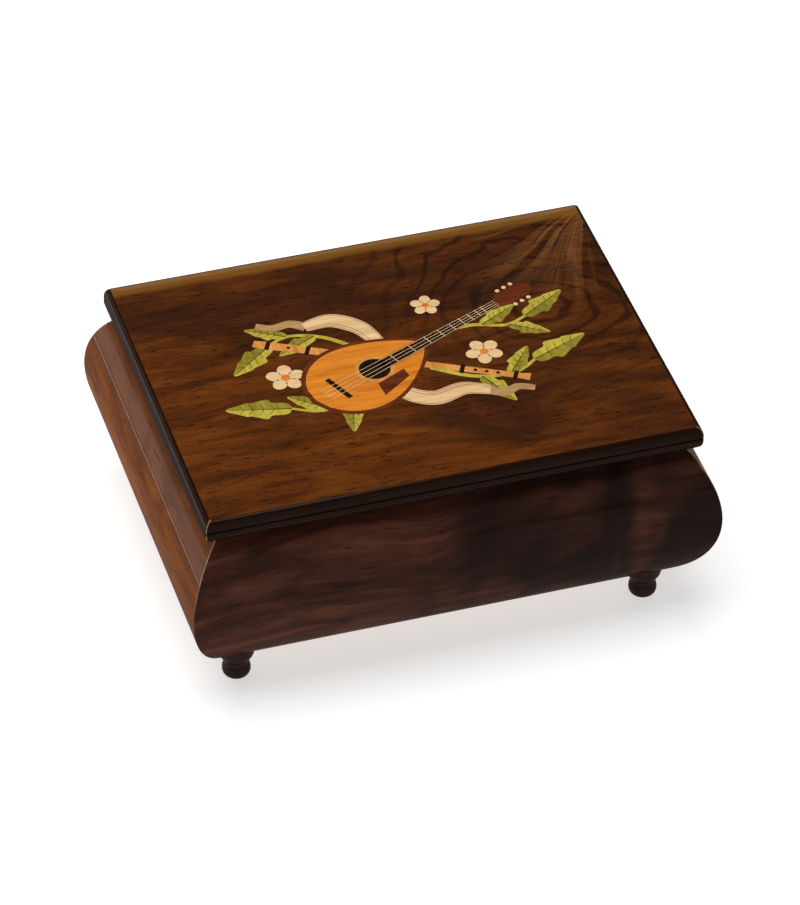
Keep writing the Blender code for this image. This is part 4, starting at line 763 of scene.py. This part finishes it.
class Inlay:
    """Flat veneer shapes of one finish, let into the lid one layer over another."""

    def __init__(self, name, finish, layer):
        self.name, self.finish = name, finish
        self.top = LID_TOP + layer * INLAY_LAYER
        self.bm = bmesh.new()

    def shape(self, outline, place=Matrix.Identity(3)):
        flat = [place @ Vector((x, y, 1.0)) for x, y in outline]
        rings = []
        for z in (LID_TOP - INLAY_DEPTH, self.top):
            rings.append([self.bm.verts.new((p.x * MM, p.y * MM, z)) for p in flat])
        self.bm.faces.new(rings[0])
        self.bm.faces.new(rings[1])
        for i in range(len(outline)):
            j = (i + 1) % len(outline)
            self.bm.faces.new((rings[0][i], rings[0][j], rings[1][j], rings[1][i]))

    def strip(self, line, width, place=Matrix.Identity(3)):
        """A band of even or tapering width along a line of points."""
        left, right = [], []
        for i, point in enumerate(line):
            half = (width(i / (len(line) - 1)) if callable(width) else width) / 2
            left.append(Vector(point) + side_of(line, i) * half)
            right.append(Vector(point) - side_of(line, i) * half)
        self.shape([(p.x, p.y) for p in left + right[::-1]], place)

    def make(self):
        bmesh.ops.recalc_face_normals(self.bm, faces=self.bm.faces)
        mesh = bpy.data.meshes.new(self.name)
        self.bm.to_mesh(mesh)
        self.bm.free()
        add_object(self.name, mesh, [self.finish], "lid", slot="walnut")


def set_at(x, y, degrees, scale=1.0):
    c, s = math.cos(math.radians(degrees)) * scale, math.sin(math.radians(degrees)) * scale
    return Matrix(((c, -s, x), (s, c, y), (0, 0, 1)))


def disc(radius, count, centre):
    return [(centre[0] + x, centre[1] + y) for x, y in circle(radius, count)]


def bar(x, half_width, half_height):
    left, right = x - half_width, x + half_width
    return [(left, -half_height), (right, -half_height), (right, half_height), (left, half_height)]


def taper(start, end):
    """A width that changes evenly along a line."""
    return lambda t: start + (end - start) * t


def leaf_half(length, side):
    """Half of a lobed leaf along +X from its stalk to its tip, on one side of its rib."""
    edge = []
    for t in [i / LEAF_STEPS for i in range(1, LEAF_STEPS)]:
        lobe = math.sin(2 * math.pi * LEAF_LOBES * t)
        swell = math.sin(math.pi * t**0.8) ** 0.85 * (1 + 0.15 * lobe)
        edge.append((length * (t - 0.04 * lobe), side * length * LEAF_WIDTH / 2 * swell))
    return [(0.0, 0.0), *edge, (length, 0.0)]


def make_branches(woods):
    """Curved stems, each with a lobed leaf at its tip and others along it."""
    stems = Inlay("inlay_stems", woods["leaf"], layer=0.6)
    light = Inlay("inlay_leaves_light", woods["leaf"], layer=1.0)
    dark = Inlay("inlay_leaves_dark", woods["moss"], layer=1.0)
    ribs = Inlay("inlay_leaf_ribs", woods["vein"], layer=1.5)
    for line, leaves in BRANCHES:
        points = smooth_line(line, 10)
        stems.strip(points, taper(*STEM_WIDTHS))
        for share, lean, length in leaves:
            index = min(int(share * (len(points) - 1)), len(points) - 2)
            start, ahead = points[index], points[index + 1] - points[index]
            degrees = math.degrees(math.atan2(ahead.y, ahead.x)) + lean
            place = set_at(start.x, start.y, degrees)
            light.shape(leaf_half(length, 1), place)
            dark.shape(leaf_half(length, -1), place)
            rib = [(0.0, 0.0), (length / 2, 0.0), (length * LEAF_RIB, 0.0)]
            ribs.strip(rib, taper(*RIB_WIDTHS), place)
            for t in LEAF_VEINS:
                for side in (-1, 1):
                    reach = side * length * VEIN_REACH * math.sin(math.pi * t**0.8)
                    vein = [(length * t, 0.0), (length * (t + VEIN_LEAN), reach)]
                    ribs.strip(vein, VEIN_WIDTH, place)
    return stems, light, dark, ribs


def ribbon_width(t):
    return RIBBON_END + RIBBON_SWELL * math.sin(math.pi * t)


def make_ribbon(woods):
    ribbon = Inlay("inlay_ribbon", woods["cream"], layer=2.0)
    fold = Inlay("inlay_ribbon_fold", woods["shade"], layer=1.8)
    hem = Inlay("inlay_ribbon_hem", woods["shade"], layer=2.35)
    for points in RIBBON_BANDS:
        line = smooth_line(points, 8)
        ribbon.strip(line, ribbon_width)
        for share in RIBBON_HEMS:
            edge = []
            for i, point in enumerate(line):
                out = ribbon_width(i / (len(line) - 1)) * share
                edge.append(point + side_of(line, i) * out)
            hem.strip(edge, HEM_WIDTH)
    for points in RIBBON_FOLDS:
        fold.strip(smooth_line(points, 8), taper(*FOLD_WIDTHS))
    return ribbon, hem, fold


def make_flute(woods):
    place = set_at(*FLUTE_AT)
    flute = Inlay("inlay_flute", woods["honey"], layer=2.6)
    flute.shape(FLUTE_OUTLINE, place)
    rings = Inlay("inlay_flute_rings", woods["ebony"], layer=3.2)
    for x in FLUTE_RINGS:
        rings.shape(bar(x, 0.7, 2.1), place)
    for x in FLUTE_HOLES:
        rings.shape(disc(HOLE_RADIUS, 12, (x, 0.2)), place)
    return flute, rings


def mandolin_half(u):
    """Half of the mandolin's width at a share of its body's length."""
    return 13.4 * math.sin(math.pi * u**0.72) ** 0.72 if 0 < u < 1 else 0.0


def make_mandolin(woods):
    place = set_at(*MANDOLIN_AT)
    shares = [i / MANDOLIN_STEPS for i in range(MANDOLIN_STEPS + 1)]
    upper = [(MANDOLIN_TAIL + MANDOLIN_LENGTH * u, mandolin_half(u)) for u in shares]
    outline = upper + [(x, -y) for x, y in upper[-2:0:-1]]
    rim = Inlay("inlay_mandolin_rim", woods["rose"], layer=3.6)
    rim.shape(outline, place)
    table = Inlay("inlay_mandolin_table", woods["amber"], layer=4.2)
    inner = []
    for x, y in outline:
        inner.append((TABLE_MIDDLE + (x - TABLE_MIDDLE) * TABLE_LENGTH, y * TABLE_WIDTH))
    table.shape(inner, place)
    neck = Inlay("inlay_mandolin_neck", woods["ebony"], layer=4.8)
    upper = [NECK_END, NECK_START]
    neck.shape([(x, -half) for x, half in upper[::-1]] + upper, place)
    neck.shape(disc(SOUND_HOLE_RADIUS, 28, SOUND_HOLE), place)
    neck.shape(bar(*BRIDGE), place)
    head = Inlay("inlay_mandolin_head", woods["rose"], layer=4.6)
    head.shape(MANDOLIN_HEAD, place)
    head.shape(MANDOLIN_GUARD, place)
    trim = Inlay("inlay_mandolin_trim", woods["cream"], layer=5.3)
    for number in range(FRETS):
        x = FRET_START + FRET_SPAN * (1 - FRET_RATIO**number) / (1 - FRET_RATIO**FRETS)
        share = (x - NECK_START[0]) / (NECK_END[0] - NECK_START[0])
        trim.shape(bar(x, FRET_HALF, taper(NECK_START[1], NECK_END[1])(share)), place)
    for y in STRINGS:
        ends = [(STRING_TAIL, STRING_SPREAD * y), (STRING_NUT, y)]
        lower = [(x, v - STRING_HALF) for x, v in ends]
        upper = [(x, v + STRING_HALF) for x, v in ends[::-1]]
        trim.shape(lower + upper, place)
    for peg in PEGS:
        trim.shape(disc(HOLE_RADIUS, 12, peg), place)
    collar = Inlay("inlay_mandolin_rosette", woods["honey"], layer=4.5)
    collar.shape(disc(ROSETTE_RADIUS, 32, SOUND_HOLE), place)
    return rim, table, neck, head, trim, collar


def make_flowers(woods):
    petals = Inlay("inlay_petals", woods["cream"], layer=2.3)
    hearts = Inlay("inlay_flower_hearts", woods["amber"], layer=3.0)
    for x, y, size, turn in FLOWERS:
        upper = []
        for angle in [math.pi * i / PETAL_STEPS for i in range(PETAL_STEPS + 1)]:
            out = PETAL_START + (1 - PETAL_START) * (1 - math.cos(angle)) / 2
            upper.append((size * out, size * PETAL_HALF * math.sin(angle)))
        outline = upper + [(px, -py) for px, py in upper[-2:0:-1]]
        for number in range(PETALS):
            petals.shape(outline, set_at(x, y, turn + 360 / PETALS * number))
        hearts.shape(disc(size * HEART_RADIUS, 14, (x, y)))
    return petals, hearts


def make_inlay():
    """A mandolin laid over a flute, with a ribbon, flowers and leafy branches."""
    woods = {
        "amber": veneer("inlay_amber", srgb(168, 92, 24), srgb(212, 132, 44)),
        "honey": veneer("inlay_honey", srgb(172, 108, 48), srgb(206, 146, 78), 1),
        "cream": veneer("inlay_cream", srgb(192, 156, 112), srgb(218, 186, 142)),
        "shade": veneer("inlay_shaded_cream", srgb(140, 104, 66), srgb(178, 140, 94)),
        "leaf": veneer("inlay_leaf", srgb(148, 134, 44), srgb(184, 168, 70), 1),
        "moss": veneer("inlay_leaf_shade", srgb(110, 102, 32), srgb(146, 132, 48), 1),
        "vein": veneer("inlay_leaf_vein", srgb(58, 56, 18), srgb(82, 76, 26)),
        "ebony": veneer("inlay_ebony", srgb(20, 12, 8), srgb(42, 25, 16)),
        "rose": veneer("inlay_rosewood", srgb(66, 28, 14), srgb(104, 48, 24)),
    }
    for motif in (make_branches, make_ribbon, make_flute, make_mandolin, make_flowers):
        for inlay in motif(woods):
            inlay.make()


# Finishes of the solids that stay


def dress(finishes):
    """Give solids a finish and, where a width is given, slightly rounded edges."""
    for names, finish, rounding in finishes:
        for name in names:
            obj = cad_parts[name]
            obj.data.materials.clear()
            obj.data.materials.append(finish)
            if rounding:
                bevel = obj.modifiers.new("soft_edges", "BEVEL")
                bevel.width = rounding
                bevel.segments = 2
                bevel.limit_method = "ANGLE"


def make_finishes():
    brass = metal("polished_brass", srgb(188, 144, 70), srgb(208, 166, 88), 0.24, 0.27)
    steel = metal("ground_steel", srgb(164, 164, 167), srgb(186, 187, 190), 0.28, 0.31, 1)
    blued = metal("spring_steel", srgb(92, 98, 116), srgb(134, 142, 158), 0.26, 0.30, 2)
    zinc = metal("gilded_casting", srgb(168, 146, 100), srgb(204, 184, 134), 0.40, 0.46, 2)
    inner = dark_wood("inner_wood", 1, *INNER_STAIN)
    make_hinge_screws(brass)
    board = plywood("base_plywood", srgb(150, 112, 74), srgb(188, 150, 106), srgb(112, 78, 48))
    pairs = [(side, leaf) for side in ("left", "right") for leaf in ("case", "lid")]
    leaves = [f"hinge_{side}_{leaf}_leaf" for side, leaf in pairs]
    wheels = ["winding_key", "spring_barrel", "crown_wheel", "pinned_cylinder", "cylinder_pinion"]
    wheels += ["cylinder_wheel", "lay_arbor", "governor_fan", "stop_rod", "stop_guide"]
    shafts = ["hinge_left_pin", "hinge_right_pin", "comb", "worm"]
    shafts += ["winding_arbor", "cylinder_shaft"]
    screws = ["bed_screw_1", "bed_screw_2", "bed_screw_3", "comb_screw_left", "comb_screw_right"]
    springs = ["click", "ratchet_wheel", "mainspring", "stop_spring"]
    castings = ["movement_bed", "barrel_bridge", "lay_post", "governor_bracket"]
    dress(
        (
            (["base_board"], board, 0.0),
            (["partition", "ledge_wall", "ledge_partition"], inner, 0.4 * MM),
            (["cover_pane"], clear_pane("clear_acrylic"), 0.0),
            (leaves + wheels, brass, 0.0),
            (shafts, steel, 0.0),
            (screws + springs, blued, 0.0),
            (castings, zinc, 0.25 * MM),
        )
    )


# Studio

WHITE, WARM = (1.0, 1.0, 1.0), (1.0, 0.82, 0.58)
FLOOR_HALF, FLOOR_DEPTH = 6.0, 0.02
FLOOR_GLOW = 0.6
WORLD_STRENGTH = 0.3
WORLD_SHADES = ((0.28, 1.0), (0.55, 0.22))  # height in the sky, and brightness

# Name, place, point it faces, width, height, watts and colour; the floor cards lie on the floor
SOFTBOXES = (
    ("top", (-0.25, 0.05, 1.6), (0.0, 0.0, 0.0), 1.3, 1.3, 30.0, WHITE),
    ("left_key", (-1.15, 0.25, 0.75), (0.0, 0.0, 0.04), 0.7, 0.5, 1.5, WHITE),
    ("back_card", (-0.3, 1.2, 0.545), (-0.3, 0.0, 0.545), 2.2, 0.69, 9.0, WARM),
    ("front_card", (0.3, -1.2, 0.36), (0.0, 0.0, 0.1), 1.6, 0.55, 1.4, WHITE),
    ("floor_card", (-0.40, 0.2, 0.002), (-0.39, 0.2, 1.0), 0.8, 0.44, 2.8, WHITE),
    ("floor_card_edge", (-0.1805, 0.2, 0.002), (-0.17, 0.2, 1.0), 0.8, 0.005, 0.15, WHITE),
)


def look(obj, place, target, roll=0.0):
    """Set an object at a place with its -Z towards a target."""
    back = (Vector(place) - Vector(target)).normalized()
    right = Vector((0, 0, 1)).cross(back).normalized()
    up = back.cross(right)
    turned_right = right * math.cos(roll) + up * math.sin(roll)
    turned_up = up * math.cos(roll) - right * math.sin(roll)
    axes = Matrix((turned_right, turned_up, back)).transposed()
    obj.matrix_world = Matrix.Translation(place) @ axes.to_4x4()


def make_camera():
    camera = bpy.data.cameras.new("camera")
    camera.sensor_fit = "VERTICAL"
    camera.sensor_height = CAMERA_SENSOR
    camera.lens = CAMERA_LENS
    camera.clip_end = CAMERA_FAR
    obj = bpy.data.objects.new("camera", camera)
    bpy.context.scene.collection.objects.link(obj)
    level, height = math.cos(CAMERA_ELEVATION), math.sin(CAMERA_ELEVATION)
    across, ahead = math.sin(CAMERA_AZIMUTH), math.cos(CAMERA_AZIMUTH)
    back = Vector((across * level, -ahead * level, height))
    look(obj, CAMERA_TARGET + back * CAMERA_DISTANCE, CAMERA_TARGET, CAMERA_ROLL)
    bpy.context.scene.camera = obj


def softbox(name, place, target, width, height, power, colour):
    light = bpy.data.lights.new(name, "AREA")
    light.shape = "RECTANGLE"
    light.size, light.size_y = width, height
    light.energy = power
    light.color = colour
    obj = bpy.data.objects.new(name, light)
    bpy.context.scene.collection.objects.link(obj)
    look(obj, Vector(place), Vector(target))


def make_world():
    """A grey sky that is paler towards the horizon and below it."""
    world = bpy.data.worlds.new("studio")
    world.use_nodes = True
    nodes, links = world.node_tree.nodes, world.node_tree.links
    place = nodes.new("ShaderNodeTexCoord")
    split = nodes.new("ShaderNodeSeparateXYZ")
    ramp = nodes.new("ShaderNodeValToRGB")
    links.new(place.outputs["Generated"], split.inputs[0])
    links.new(split.outputs["Z"], ramp.inputs["Fac"])
    links.new(ramp.outputs["Color"], nodes["Background"].inputs["Color"])
    for point, (position, value) in zip(ramp.color_ramp.elements, WORLD_SHADES):
        point.position = position
        point.color = (value, value, value, 1.0)
    nodes["Background"].inputs["Strength"].default_value = WORLD_STRENGTH
    bpy.context.scene.world = world


def make_studio():
    low, high = (-FLOOR_HALF, -FLOOR_HALF, -FLOOR_DEPTH), (FLOOR_HALF, FLOOR_HALF, 0.0)
    floor_mesh = box_mesh(low, high)
    glow = {"Emission_Color": (*WHITE, 1.0), "Emission_Strength": FLOOR_GLOW}
    s = Shader("white_floor", Base_Color=(0.5, 0.5, 0.5, 1.0), Roughness=0.8, **glow)
    floor_mesh.materials.append(s.material)
    floor = bpy.data.objects.new("floor", floor_mesh)
    bpy.context.scene.collection.objects.link(floor)
    for box in SOFTBOXES:
        softbox(*box)
    make_world()
    bpy.context.scene.view_settings.view_transform = "Standard"


make_camera()
make_walls()
make_lid()
make_feet()
make_linings()
make_inlay()
make_finishes()
make_studio()
